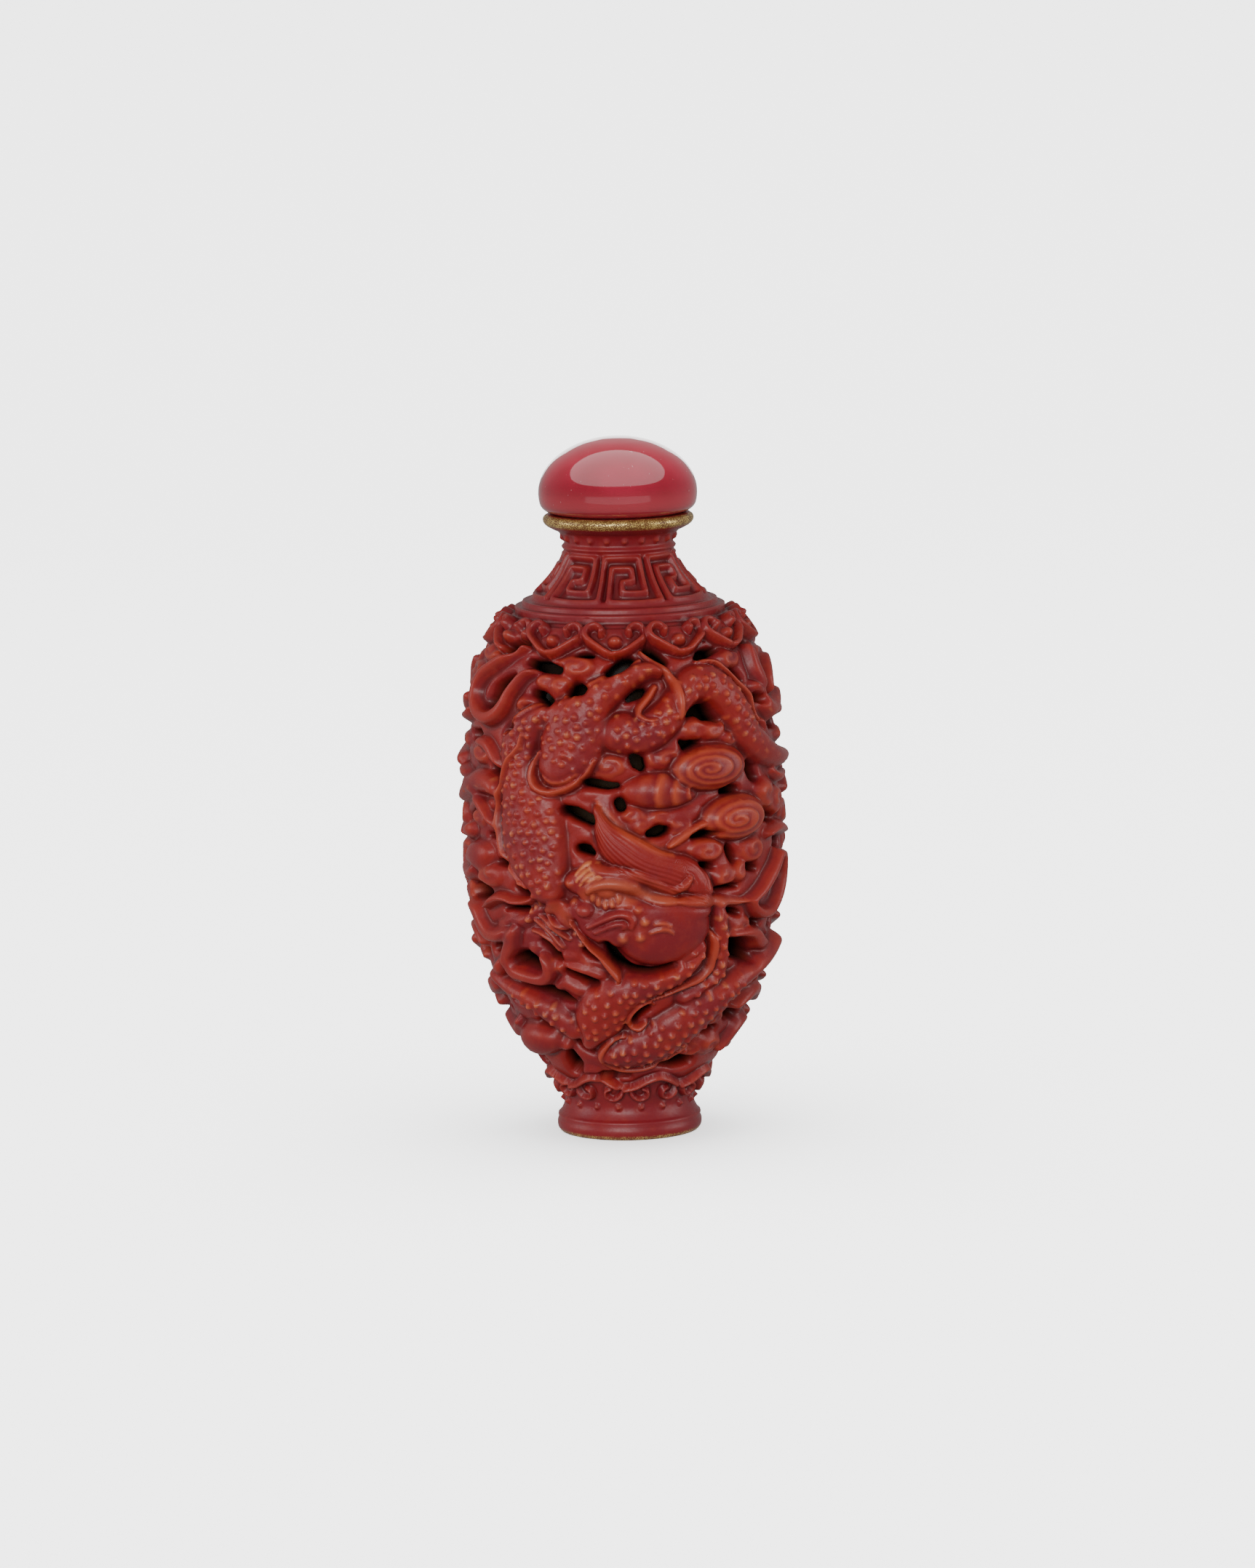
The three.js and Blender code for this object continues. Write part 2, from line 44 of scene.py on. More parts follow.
wall = {                                         # the pierced outer wall, its profile as height and mean radius
    "profile": [(0, 7.9), (0.35, 8.2), (0.9, 8.3), (1.7, 8.2), (2.4, 7.8), (3.3, 7.45), (4.4, 7.6), (7, 8.9),
                (11, 11.3), (16, 13.9), (23, 16.2), (31, 17.4), (41, 17.3), (50, 16.7), (55, 15.35), (57.9, 13.9),
                (60.4, 11.9), (62.2, 9.7), (64.6, 7.5), (67, 6.3), (68.4, 6.35), (69.2, 6.8), (69.6, 7.5),
                (69.95, 8.15), (70.3, 8.5), (70.7, 8.6), (71.05, 8.45), (71.3, 8.0)],
    "ground": 0.95, "skin": 1.55, "level": 0.35,  # the pierced ground below the mean, its thickness, and the filler
    "carvedFrom": 7.9, "carvedTo": 56.4, "join": 0.14,           # where it is pierced, and how softly forms meet
    "gap": 2.3, "share": 180, "columns": 360, "rowStep": 0.15,      # one dragon's share, in degrees and field cells
}


def through(points, count):                      # a smooth curve through points
    p = np.array(points, float)
    at = np.linspace(0, len(p) - 1, count)
    i = np.minimum(at.astype(int), len(p) - 2)
    u = (at - i)[:, None]
    a, b, c, d = (p[np.clip(i + k, 0, len(p) - 1)] for k in (-1, 0, 1, 2))
    return b + 0.5 * u * (c - a + u * (2 * a - 5 * b + 4 * c - d + u * (3 * (b - c) + d - a)))


profileLine = through(wall["profile"], 1500)
profileLength = np.concatenate([[0], np.cumsum(np.hypot(*np.diff(profileLine, axis=0).T))])


def radiusAt(height):
    return np.interp(height, profileLine[:, 0], profileLine[:, 1])


def lengthAt(height):                            # the way up the wall, along its profile
    return np.interp(height, profileLine[:, 0], profileLength)


def heightAt(length):
    return np.interp(length, profileLength, profileLine[:, 0])


def wallSlope(height):
    return (radiusAt(height + 0.3) - radiusAt(height - 0.3)) / 0.6


def onWall(angle, height, out):                  # points a given distance off the wall
    slope = wallSlope(height)
    norm = np.sqrt(1 + slope ** 2)
    radius = radiusAt(height) + out / norm
    turn = np.radians(angle - 90)
    return np.stack([radius * np.cos(turn), radius * np.sin(turn), height - out * slope / norm], -1)


# the carving is worked out as fields over one share: rows up the wall, columns round it
rowLength = np.arange(0, profileLength[-1], wall["rowStep"])
rowHeight = heightAt(rowLength)
columnStep = wall["share"] / wall["columns"]
sunk = (np.clip((rowHeight - wall["carvedFrom"] + 0.9) / 1.5, 0, 1)
        * np.clip((wall["carvedTo"] - rowHeight + 0.4) / 1.2, 0, 1))
lift = np.repeat((wall["level"] * sunk)[:, None], wall["columns"], axis=1)
crest = np.zeros_like(lift)                      # where the glaze has thinned to orange
pale = np.zeros_like(lift)                       # where it is thinnest and cream yellow
broad = np.zeros_like(lift)                      # the forms without their detail
opening = np.full_like(lift, 9.0)                # distance to the nearest opening's edge
strand = np.zeros_like(lift)                     # which hair, counted across the locks
hairy = np.zeros_like(lift)                      # where there is hair


class Sweep:                                     # where a stroke lies on the field, and the measures inside it
    def __init__(self, path, margin=1.0, smooth=True):
        p = np.array(path, float)
        size = np.hypot(np.radians(np.diff(p[:, 0])) * radiusAt(p[:-1, 1]), np.diff(p[:, 1]))
        count = max(4, int(size.sum() / 0.22))
        if smooth and len(p) > 2:
            line = through(path, count)
        else:
            run = np.concatenate([[0], np.cumsum(size)])
            line = np.stack([np.interp(np.linspace(0, run[-1], count), run, p[:, k]) for k in range(3)], 1)
        self.angle, self.height, self.half = line.T
        self.half = np.maximum(self.half, 0.05)
        length, radius = lengthAt(self.height), radiusAt(self.height)
        reach = self.half.max() + margin
        spread = degrees(reach / radius.min())
        first = int(np.floor((self.angle.min() - spread + wall["share"] / 2) / columnStep))
        last = int(np.ceil((self.angle.max() + spread + wall["share"] / 2) / columnStep))
        rows = np.arange(np.searchsorted(rowLength, length.min() - reach),
                         np.searchsorted(rowLength, length.max() + reach))
        columns = np.arange(first, min(last, first + wall["columns"]))
        self.index = np.ix_(rows, columns % wall["columns"])
        self.gridAngle = (-wall["share"] / 2 + columns * columnStep)[None]
        self.gridLength = rowLength[rows][:, None]
        stepX, stepY = np.gradient(np.radians(self.angle)) * radius, np.gradient(length)
        norm = np.maximum(np.hypot(stepX, stepY), 1e-9)
        stepX, stepY = stepX / norm, stepY / norm
        self.run = np.concatenate([[0], np.cumsum(np.hypot(np.radians(np.diff(self.angle)) * radius[:-1],
                                                            np.diff(length)))])
        shape = (len(rows), len(columns))
        self.ratio, self.edge = np.full(shape, 1e9), np.full(shape, 1e9)
        self.along, self.side = np.zeros(shape), np.zeros(shape)
        for i in range(len(line)):
            x = np.radians(self.gridAngle - self.angle[i]) * radius[i]
            y = self.gridLength - length[i]
            away = np.hypot(x, y)
            self.edge = np.minimum(self.edge, away - self.half[i])
            ratio = away / self.half[i]
            near = ratio < self.ratio
            self.ratio = np.where(near, ratio, self.ratio)
            self.along = np.where(near, self.run[i], self.along)
            self.side = np.where(near, (stepX[i] * y - stepY[i] * x) / self.half[i], self.side)


def smoothMax(a, b, soft):
    return 0.5 * (a + b + np.sqrt((a - b) ** 2 + soft * soft))


def warmed(index, orange, cream=0.0):            # the glaze over a form: thin and warm, or plain again
    crest[index] = np.maximum(crest[index], orange)
    pale[index] = np.maximum(pale[index], cream)


def layForm(sweep, top, power=2.2, base=None, groove=0.45, grooveWidth=0.32, extra=0.0, orange=0.0, cream=0.0):
    old = lift[sweep.index]                      # a rounded form over what is there, a groove worked round it
    low = -0.2 if base is None else base
    inside = sweep.ratio < 1
    rise = (1 - np.clip(sweep.ratio, 0, 1) ** power) ** (1 / power)
    near = np.exp(-(np.abs(sweep.edge) / grooveWidth) ** 2)
    old = old - groove * near * np.clip((old + wall["ground"]) / 1.5, 0.1, 1)
    lift[sweep.index] = np.where(inside, smoothMax(old, low + (top - low + extra) * rise, wall["join"]), old)
    fade = np.clip(rise * 1.5, 0, 1) * inside
    crest[sweep.index] *= 1 - fade
    pale[sweep.index] *= 1 - fade
    warmed(sweep.index, orange * rise ** 2 * inside, cream * rise ** 4 * inside)


def layOver(sweep, rise, **more):                # a small form that follows what it lies on
    under = broad[sweep.index]
    layForm(sweep, under + rise, base=under - 0.1, **more)


def addLine(path, height, orange=0.25, smooth=True):
    sweep = Sweep(path, 0.6, smooth)
    ridge = np.exp(-(sweep.ratio ** 2) * 1.6)
    lift[sweep.index] += height * ridge
    warmed(sweep.index, orange * ridge)


def addBump(angle, height, radius, rise, orange=0.6, cream=0.15):
    sweep = Sweep([(angle, height, radius), (angle + 0.01, height, radius)], 0.5)
    bump = np.cos(np.clip(sweep.ratio, 0, 1) * pi / 2) ** 1.2
    ring = np.exp(-((sweep.ratio - 1.15) / 0.3) ** 2)
    lift[sweep.index] += rise * bump - 0.05 * ring
    warmed(sweep.index, orange * bump ** 1.5, cream * bump ** 4)


def overOval(angle, height, a, b, tilt=0):       # an oval on the field, its own axes, and how far out each cell is
    sweep = Sweep([(angle, height, max(a, b)), (angle + 0.01, height, max(a, b))], 0.8)
    x = np.radians(sweep.gridAngle - angle) * radiusAt(height)
    y = sweep.gridLength - lengthAt(height)
    c, s = cos(radians(tilt)), sin(radians(tilt))
    x, y = x * c + y * s, y * c - x * s
    sweep.ratio = np.hypot(x / a, y / b)
    sweep.edge = (sweep.ratio - 1) * min(a, b)
    return sweep, x, y


# ---- the low filler: small cloud scrolls between the figures, as angle, height, half length, half height,
# turns, hand and top
fillers = {
    "rise": 0.36, "power": 3.2, "low": 0.75, "spread": 0.45, "groove": 0.12,
    "scrolls": [
        (2.4, 39.2, 1.5, 1, 1.3, 1, -0.35), (6.7, 37.9, 1.6, 1.2, 1.5, 1, -0.3),
        (13, 38.6, 1.5, 1.1, 1.3, -1, -0.35), (20, 37.9, 2, 1.3, 1.5, -1, -0.2), (12, 45.5, 1.7, 1.3, 1.3, 1, -0.2),
        (16.5, 45.2, 1.8, 1.4, 1.3, -1, -0.2), (-5.5, 44.7, 2.2, 1.3, 1.4, -1, -0.1),
        (-13.5, 41.4, 1.2, 0.8, 0, 1, -0.3), (-40, 51.2, 1.5, 1.1, 1, 1, -0.1), (-31.5, 53.9, 1.6, 1, 1, 1, -0.2),
        (-25, 53.3, 1.5, 1.1, 1.1, -1, -0.2), (-19, 55.4, 2.4, 1.3, 1.5, 1, 0), (27, 48.3, 2.2, 1.2, 1.3, -1, 0),
        (36, 48.1, 1.9, 1.3, 1.3, 1, -0.1), (31, 34.5, 2.4, 1.5, 1.5, 1, 0.5), (53.5, 34, 2.1, 1.7, 1.6, -1, 0.6),
        (38.5, 31.4, 1.7, 1.3, 1.2, 1, 0.5), (46.8, 31.6, 1.2, 1.3, 0.8, -1, 0.4),
        (-19.5, 21.6, 1.7, 0.9, 1.2, 1, 0.2), (-29, 21.6, 1.9, 1.1, 1, -1, -0.2), (-33, 19.4, 2, 0.9, 0, 1, -0.2),
        (-66, 45.2, 2.4, 1.6, 1.3, 1, 0.2), (63.5, 40, 2.3, 1.9, 0.9, 1, 1.1), (73, 38.8, 2.2, 1.8, 1.5, -1, 0.8),
        (84, 36.8, 2.4, 1.9, 1.6, 1, 0.7), (-82, 33.2, 2.6, 1.8, 1.5, -1, 0.5), (-84, 28.6, 2.2, 1.6, 1.4, 1, 0.4),
        (-60, 31.4, 2.8, 1.5, 0.8, 1, 0.5), (-46, 26.8, 2.6, 1.1, 0, -1, 0.1), (-38, 23.4, 1.3, 0.9, 0, -1, 0),
        (48.5, 25, 2.2, 1.4, 1.2, 1, 0.2), (44, 14.6, 1.8, 1.1, 1.1, -1, 0.2), (36, 10.9, 1.8, 1.1, 1.3, 1, 0.1),
        (51, 11.2, 2.1, 1.4, 1.4, -1, 0.3), (86, 12.6, 2.4, 1.8, 1.5, 1, 0.4), (60, 47.4, 2.2, 1.6, 1.4, 1, 0.3),
        (45, 46.6, 2.2, 1.3, 1.3, -1, 0.1), (86, 54.4, 2.4, 1.5, 1.4, 1, 0.3), (51, 55.5, 1.9, 1.3, 1.1, 1, 0.2),
        (73, 42.6, 2.2, 1.3, 1.3, -1, 0.4), (-72, 56, 2.4, 1.2, 1.3, 1, 0.3), (64, 22.8, 2, 1, 1.2, 1, 0.1),
        (-26, 8.6, 1.6, 0.9, 0, 1, 0.1), (14, 47, 1.6, 0.8, 0, 1, -0.3), (-8, 35.6, 1.3, 1.2, 0, 1, -0.2),
        (-13.5, 36.8, 1.6, 0.8, 0, 1, -0.3), (-16, 33.4, 1.3, 0.9, 0, 1, -0.1), (-83, 53.2, 2.6, 1.7, 1.5, 1, 0.6),
        (89, 45.6, 2.2, 1, 1.2, -1, 0.4), (88, 30.4, 2.2, 1.7, 1.5, 1, 0.7), (86, 27.2, 2, 1.2, 1.2, -1, 0.5),
        (-90, 21.2, 2, 1.2, 1.3, 1, 0.5), (-66, 37.6, 1.8, 1.1, 1.2, -1, 0.4), (-89, 10.2, 1.8, 1, 1.2, 1, 0.5),
        (-58, 39.4, 1.3, 0.8, 0, 1, 0.2), (24, 38.9, 2.6, 0.9, 0, 1, -0.1), (-24, 22.6, 1.6, 0.8, 0, 1, -0.1),
        (56, 37, 1.6, 1, 0, 1, 0.4),
    ],
}

# ---- the dragon's body: fat sweeps set with bosses, as angle, height and half width
bodies = {
    "pitch": 1.24, "row": 0.87, "reach": 0.9,    # bosses' spacing, their rows' share of it, how near the edge they go
    "boss": 0.42, "bossRise": 0.42, "jitter": 0.13, "calm": (50, 12),            # they shrink towards the sides
    "base": 0, "power": 2, "raise": 0.35,
    "coils": [
        (1.45, [(-25.5, 50.9, 0.9), (-31.5, 49.9, 1.5), (-37.5, 48.6, 2.2), (-41.5, 47, 2.5), (-42, 45.3, 2.5),
            (-41.5, 43.7, 2.6), (-40, 42.1, 3.1), (-37.5, 40.4, 3.9), (-36.5, 38.7, 4.2), (-36, 36.8, 4.4),
            (-35, 35.2, 4.2), (-33.5, 33.8, 3.8), (-31.5, 32.2, 3.1), (-29, 30.7, 2.1), (-27, 29.8, 1)]),
        (1.5, [(-5.5, 48.3, 1.9), (0.5, 48.3, 2.3), (6.5, 48, 2.2), (13, 48.9, 2.1), (18, 50.1, 1.9),
            (22, 51.6, 1.7), (26.5, 52.8, 1.9), (31, 53.4, 1.95), (36.5, 53.2, 2.15), (41, 52.3, 2.2),
            (45, 51.2, 2.1), (48, 49.9, 2.1), (51, 48.4, 2.1), (54, 46.9, 2), (59.5, 45.7, 1.95), (66, 44.6, 1.75),
            (76, 43.6, 1.45), (88, 43.2, 1.1)]),
        (2, [(-23.5, 44, 2.3), (-22, 45, 3.2), (-19.5, 46.7, 3.7), (-18, 48.5, 3.5), (-15.5, 50.2, 3),
            (-11, 51.7, 2.35), (-6, 52.7, 1.85), (-0.5, 53.7, 1.55), (5, 54.5, 1.3), (11, 54.9, 1),
            (14.5, 54.7, 0.7)]),
        (1.1, [(36.5, 28, 0.9), (37.5, 26.4, 1.1), (38.5, 24.6, 1.1), (39.5, 22.8, 1.15), (40, 21.2, 1.2),
            (38, 19.6, 1.2), (33, 18.6, 1.3), (27, 17.6, 1.3)]),
        (1.55, [(30, 23.8, 0.7), (26, 22.3, 1.3), (20, 20.9, 1.6), (13, 20.1, 1.75), (6.5, 19.4, 1.95),
            (-0.5, 18.6, 2.3), (-6.5, 17.4, 2.8), (-11.5, 15.9, 2.9), (-15.5, 14.3, 2.5), (-18, 13, 1.5)]),
        (1.75, [(-11.5, 11.2, 1.3), (-8, 11.4, 1.8), (-2, 11.4, 2.2), (6, 11.8, 2.5), (15, 12.5, 2.75),
            (23.5, 13.8, 2.75), (31, 15.2, 2.45), (38, 16.6, 2.1), (44, 17.8, 1.8), (51, 18.9, 1.5),
            (60, 19.9, 1.3), (71, 21, 1.2), (82, 22.4, 1)]),
        (1.2, [(-70, 19.6, 0.8), (-62, 18.5, 1), (-53.5, 17.8, 1.1), (-45, 17, 1.3), (-38, 16, 1.5), (-32, 15, 1.5),
            (-27, 13.8, 1.1)]),
        (1.2, [(-87, 39.2, 0.9), (-76, 40.8, 1.3), (-65, 41.8, 1.5), (-56, 41.6, 1.2), (-52.5, 40.8, 0.7)]),
        (1.2, [(62, 52, 0.7), (70, 49.6, 1.3), (78, 48.9, 1.3), (90, 50.4, 0.8)]),
    ],
    "rims": [                                    # height of the ridge, then its stroke
        (0.5, [(-31, 46.1, 0.2), (-33.5, 44.8, 0.36), (-34, 43.4, 0.4), (-32, 42.2, 0.45), (-27.5, 41.6, 0.46),
            (-22.5, 41.8, 0.42), (-17.5, 42.6, 0.37), (-13, 43.8, 0.3), (-10, 45.4, 0.22)]),
        (0.22, [(-29, 43.5, 0.18), (-25.5, 42.8, 0.26), (-20.5, 42.9, 0.26), (-16, 43.8, 0.2)]),
        (0.4, [(-37.5, 47.9, 0.22), (-39, 46.4, 0.3), (-44, 44.8, 0.34), (-47.5, 43, 0.36), (-50.5, 41.5, 0.36),
            (-52.5, 39.9, 0.38), (-53.5, 38.4, 0.4), (-53, 36.6, 0.4), (-52, 34.8, 0.36), (-49.5, 33.5, 0.36),
            (-45.5, 32.2, 0.36), (-41.5, 31.2, 0.34), (-38, 30.5, 0.24)]),
        (0.5, [(32.5, 55.5, 0.16), (38, 55.6, 0.3), (43, 55.2, 0.34), (45.5, 54.5, 0.32), (49, 53.7, 0.33),
            (52, 52.8, 0.37), (55.5, 52, 0.42), (58.5, 51, 0.34), (59, 49.7, 0.28), (60.5, 48.3, 0.22)]),
        (0.6, [(9.5, 17.5, 0.15), (18, 18.4, 0.3), (24.5, 19.1, 0.38), (31, 19.9, 0.44), (34.5, 20.9, 0.48),
            (35.2, 22.1, 0.5), (35.5, 23.3, 0.5), (35, 24.2, 0.46), (33, 25.3, 0.34), (32, 26.1, 0.2)]),
        (0.5, [(-1, 13.5, 0.15), (-7.5, 13.2, 0.3), (-12.5, 12.2, 0.36), (-14.6, 11.1, 0.37), (-12.5, 9.9, 0.38),
            (-6, 9.1, 0.38), (2.5, 8.9, 0.36), (11, 9.1, 0.34), (19.5, 9.8, 0.32), (26, 10.8, 0.28),
            (32, 11.9, 0.2)]),
        (0.5, [(12, 16.9, 0.12), (9.5, 17.4, 0.2), (5.5, 17.1, 0.28), (2.5, 16.3, 0.32), (0.6, 15.4, 0.33),
            (1.5, 14.5, 0.33), (5, 14.3, 0.33), (8.5, 14.9, 0.25)]),
        (0.18, [(-22, 52.2, 0.2), (-14, 53.2, 0.28), (-6, 54.5, 0.3), (2, 55.6, 0.3), (8, 56.1, 0.22)]),
        (0.2, [(-50, 47.5, 0.25), (-45, 49.2, 0.3), (-38, 50.6, 0.3), (-30, 51.6, 0.25)]),
    ],
}

# ---- ribbons, tassels and legs: top, then the stroke; the first three lie low, the last two on the coils
ribbons = [
    (0.5, [(-33, 17.9, 0.4), (-28, 19.4, 0.8), (-20, 18.4, 0.8), (-15, 18.6, 0.4)]),
    (0.7, [(-24, 21.6, 0.5), (-17, 21.2, 0.7), (-11, 20.6, 0.7), (-7, 20, 0.4)]),
    (0.7, [(-58, 25.4, 0.5), (-50, 26, 0.8), (-42, 26.6, 0.8), (-34, 28, 0.5)]),
    (1.5, [(-78, 27.3, 0.7), (-72.5, 26.5, 1.1), (-69.5, 25.3, 1.2), (-64, 24.4, 1.05), (-56.5, 24.5, 0.9),
        (-49, 25, 0.8)]),
    (1.5, [(-56.5, 21.8, 0.6), (-63.5, 20.3, 1), (-71, 18.6, 1.2), (-80, 17.4, 0.9), (-90, 18, 0.6)]),
    (1.9, [(-36.5, 54.8, 0.35), (-41, 54.3, 0.55), (-44.5, 53.2, 0.62), (-47.5, 52, 0.7), (-49.5, 50.9, 0.8),
        (-53.5, 49.8, 0.93), (-60, 49.2, 1), (-67, 49.6, 0.97), (-71, 50.7, 0.9), (-72, 52.1, 0.84),
        (-68.5, 53.6, 0.8), (-62, 54.7, 0.74), (-56, 55.6, 0.64), (-50.5, 56.5, 0.5), (-45.5, 57.1, 0.27)]),
    (1.2, [(-76, 49.6, 0.5), (-84, 48.6, 0.8), (-96, 48.2, 0.5)]),
    (1.5, [(-96, 42.6, 0.5), (-84, 42.2, 0.8), (-74, 41.3, 0.9), (-66, 39.8, 0.8), (-58, 38.1, 0.6),
        (-54, 36.9, 0.3)]),
    (1.1, [(-68, 46.3, 0.5), (-60, 46.1, 0.8), (-54, 44.6, 0.7), (-50.5, 42.8, 0.4)]),
    (1.5, [(-64, 27.6, 0.35), (-59, 28.3, 0.55), (-53, 29, 0.6), (-48.5, 29.1, 0.5), (-44, 28.8, 0.48),
        (-39, 29, 0.4), (-33, 29.8, 0.3), (-27.5, 30.2, 0.14)]),
    (1.2, [(-47, 25.4, 0.7), (-50, 23.8, 1), (-54.5, 22, 1.05), (-53, 20.5, 1.04), (-45.5, 20, 0.97),
        (-38, 19.9, 0.92), (-33.5, 20.5, 0.85), (-33, 21.7, 0.72), (-35, 22.8, 0.36)]),
    (1.8, [(49, 28.2, 0.28), (53.5, 28.4, 0.54), (59, 29.2, 0.76), (64, 30.3, 0.88), (69, 31.5, 0.84),
        (73, 32.6, 0.8), (76.5, 32.2, 0.85), (77.5, 30.4, 0.9), (75.5, 28.4, 0.85), (71, 27, 0.76),
        (66, 26.3, 0.76), (60, 26.4, 0.75), (55, 27.2, 0.63), (52, 28.1, 0.4)]),
    (1.2, [(43, 24.6, 0.4), (50, 24.4, 0.6), (58, 24.2, 0.9), (65, 22.8, 1), (73, 22, 0.7)]),
    (1.5, [(66, 56.3, 0.32), (66.5, 55.2, 0.9), (66.5, 53.8, 1), (68, 52.5, 1), (68.5, 51.4, 0.7)]),
    (1.5, [(86, 54.5, 0.5), (82, 53.6, 1), (77, 52.3, 0.9), (76, 51, 0.5)]),
    (1, [(60, 48.4, 0.26), (63.5, 47.9, 0.5), (66, 46.9, 0.35)]),
    (1.4, [(58, 15.6, 0.4), (65, 16.4, 0.8), (74, 17, 1), (82, 16.6, 0.9), (90, 15.4, 0.7)]),
    (1.3, [(60, 10.4, 0.34), (66, 11.4, 0.8), (72, 12.8, 0.9), (80, 13.6, 0.6)]),
    (1.2, [(-90, 14, 0.6), (-80, 12.8, 1), (-72, 12.8, 1.1), (-66, 14, 0.6)]),
    (1.1, [(70, 42.2, 0.4), (78, 41.2, 0.8), (88, 41.4, 0.5)]),
    (1.2, [(64, 35.2, 0.5), (74, 35.6, 0.8), (86, 34.6, 0.5)]),
    (1.1, [(-90, 31.2, 0.5), (-80, 30.6, 0.8), (-72, 31.4, 0.6)]),
    (1.2, [(-88, 24.6, 0.6), (-80, 24, 0.9), (-74, 23, 0.6)]),
    (1.9, [(8.5, 57, 0.22), (12.5, 56.2, 0.42), (16.5, 55.3, 0.52), (19.5, 54.2, 0.56), (20.8, 53, 0.54),
        (21.4, 51.8, 0.5), (21.8, 50.6, 0.46), (21.6, 49.6, 0.2)]),
    (1.7, [(13, 53.1, 0.35), (10.5, 52.2, 0.49), (8, 51.4, 0.49), (6, 50.5, 0.42), (7.5, 49.9, 0.26),
        (10.5, 49.6, 0.2), (12.5, 49.7, 0.12)]),
]

# ---- large clouds and leaves: angle, height, half length, half height, tilt, top, turns, hand
clouds = [
    (14, 41.7, 4.7, 2.1, -3, 1.7, 0, 1), (34.2, 43.9, 5, 2.7, -2, 2.5, 3.9, 1),
    (45, 37.9, 4.9, 2.7, 0, 2.45, 3.7, -1),
]
leaves = [
    (-54, 12.2, 3.7, 2.2, 8, 2), (-68, 33.2, 3.6, 1.8, 12, 1.2), (-39, 11.9, 1.6, 1, 0, 0.9),
    (30, 11.2, 1.2, 0.7, -20, 0.6), (66, 18.4, 2, 1, 10, 0.9), (-26, 26.6, 1.5, 0.9, -10, 0.9),
    (-77, 36, 2.2, 1.3, 0, 1.1),
]


largeCloud = {"from": 4, "shift": 0.28, "power": 1.9, "groove": 0.4}     # longer clouds are fuller, their turns uneven
longCloud = {"eye": 4.2, "drop": 0.4, "squash": 0.8, "period": 1.45, "rise": 0.34, "first": 0.9}


def shell(turn):                                 # a long climb and a short fall, once a turn
    return np.clip(turn / 0.75, 0, 1) * np.clip((1 - turn) / 0.25, 0, 1)


def layScroll(angle, height, a, b, turns, hand, top, rise=None, orange=0.22):
    if rise is None:
        rise, top = fillers["rise"], fillers["low"] + fillers["spread"] * top
    sweep, x, y = overOval(angle, height, a, b)
    ridges, shift = 0, largeCloud["shift"] * a if a > largeCloud["from"] else 0
    if turns:
        reach = sweep.ratio
        for _ in range(4 if shift else 0):       # its turns open out to one side
            reach = np.hypot((x + shift * (1 - np.minimum(reach, 1))) / a, y / b)
        bearing = np.arctan2(y / b, (x + shift * (1 - np.minimum(reach, 1))) / a)
        phase = 2 * pi * turns * reach - hand * bearing
        inside = np.clip((1.08 - sweep.ratio) / 0.2, 0, 1)
        turn = (phase / (2 * pi)) % 1
        ridges = rise * (shell(turn) if shift else (0.5 + 0.5 * np.cos(phase)) ** 0.9) * inside
    kind = largeCloud if shift else fillers
    layForm(sweep, top, kind["power"], groove=kind["groove"], grooveWidth=0.3)
    lift[sweep.index] += (ridges - 0.5 * rise) * (sweep.ratio < 1)
    warmed(sweep.index, orange * np.clip(ridges / rise, 0, 1) ** 2 * (sweep.ratio < 1))
    return sweep, x


def layLongCloud(sweep, x):                      # shells that ride up on each other towards the right
    away = np.hypot((x - longCloud["eye"]) * longCloud["squash"], sweep.gridLength - sweep.middle + longCloud["drop"])
    shells = (shell((away / longCloud["period"]) % 1) * (away > longCloud["first"])
              * np.clip((1 - sweep.ratio) / 0.15, 0, 1))
    shells = shells * np.clip((x + 3.6) / 2.5, 0.25, 1)
    lift[sweep.index] += longCloud["rise"] * shells
    warmed(sweep.index, 0.5 * shells ** 2)


def setBosses(path):
    sweep = Sweep(path, 0.2)
    total, pitch = sweep.run[-1], bodies["pitch"]
    rows = max(2, int(total / (pitch * bodies["row"])))
    calmFrom, calmOver = bodies["calm"]
    for i in range(1, rows):
        at = i * total / rows
        angle, height, half = (float(np.interp(at, sweep.run, v)) for v in (sweep.angle, sweep.height, sweep.half))
        ahead, up = (float(np.interp(at + 0.1, sweep.run, v)) for v in (sweep.angle, sweep.height))
        dx, dy = radians(ahead - angle) * float(radiusAt(height)), float(lengthAt(up) - lengthAt(height))
        size = max(float(np.hypot(dx, dy)), 1e-6)
        across = int(half * bodies["reach"] / pitch) + 1
        for k in range(-across, across + 1):
            off = (k + (0.5 if i % 2 else 0)) * pitch
            if abs(off) > half * bodies["reach"]:
                continue
            shiftX, shiftY = chance.normal(0, bodies["jitter"], 2)
            bossHeight = float(heightAt(lengthAt(height) + dx / size * off + shiftY))
            bossAngle = angle + degrees((-dy / size * off + shiftX) / float(radiusAt(bossHeight)))
            fade = (1 - 0.3 * (off / half) ** 2) * (1 - 0.75 * min(max((abs(angle) - calmFrom) / calmOver, 0), 1))
            radius = bodies["boss"] * fade * chance.uniform(0.85, 1.15)
            addBump(bossAngle, bossHeight, radius, bodies["bossRise"] * fade, chance.uniform(0.05, 0.5),
                    chance.uniform(-0.3, 0.3))


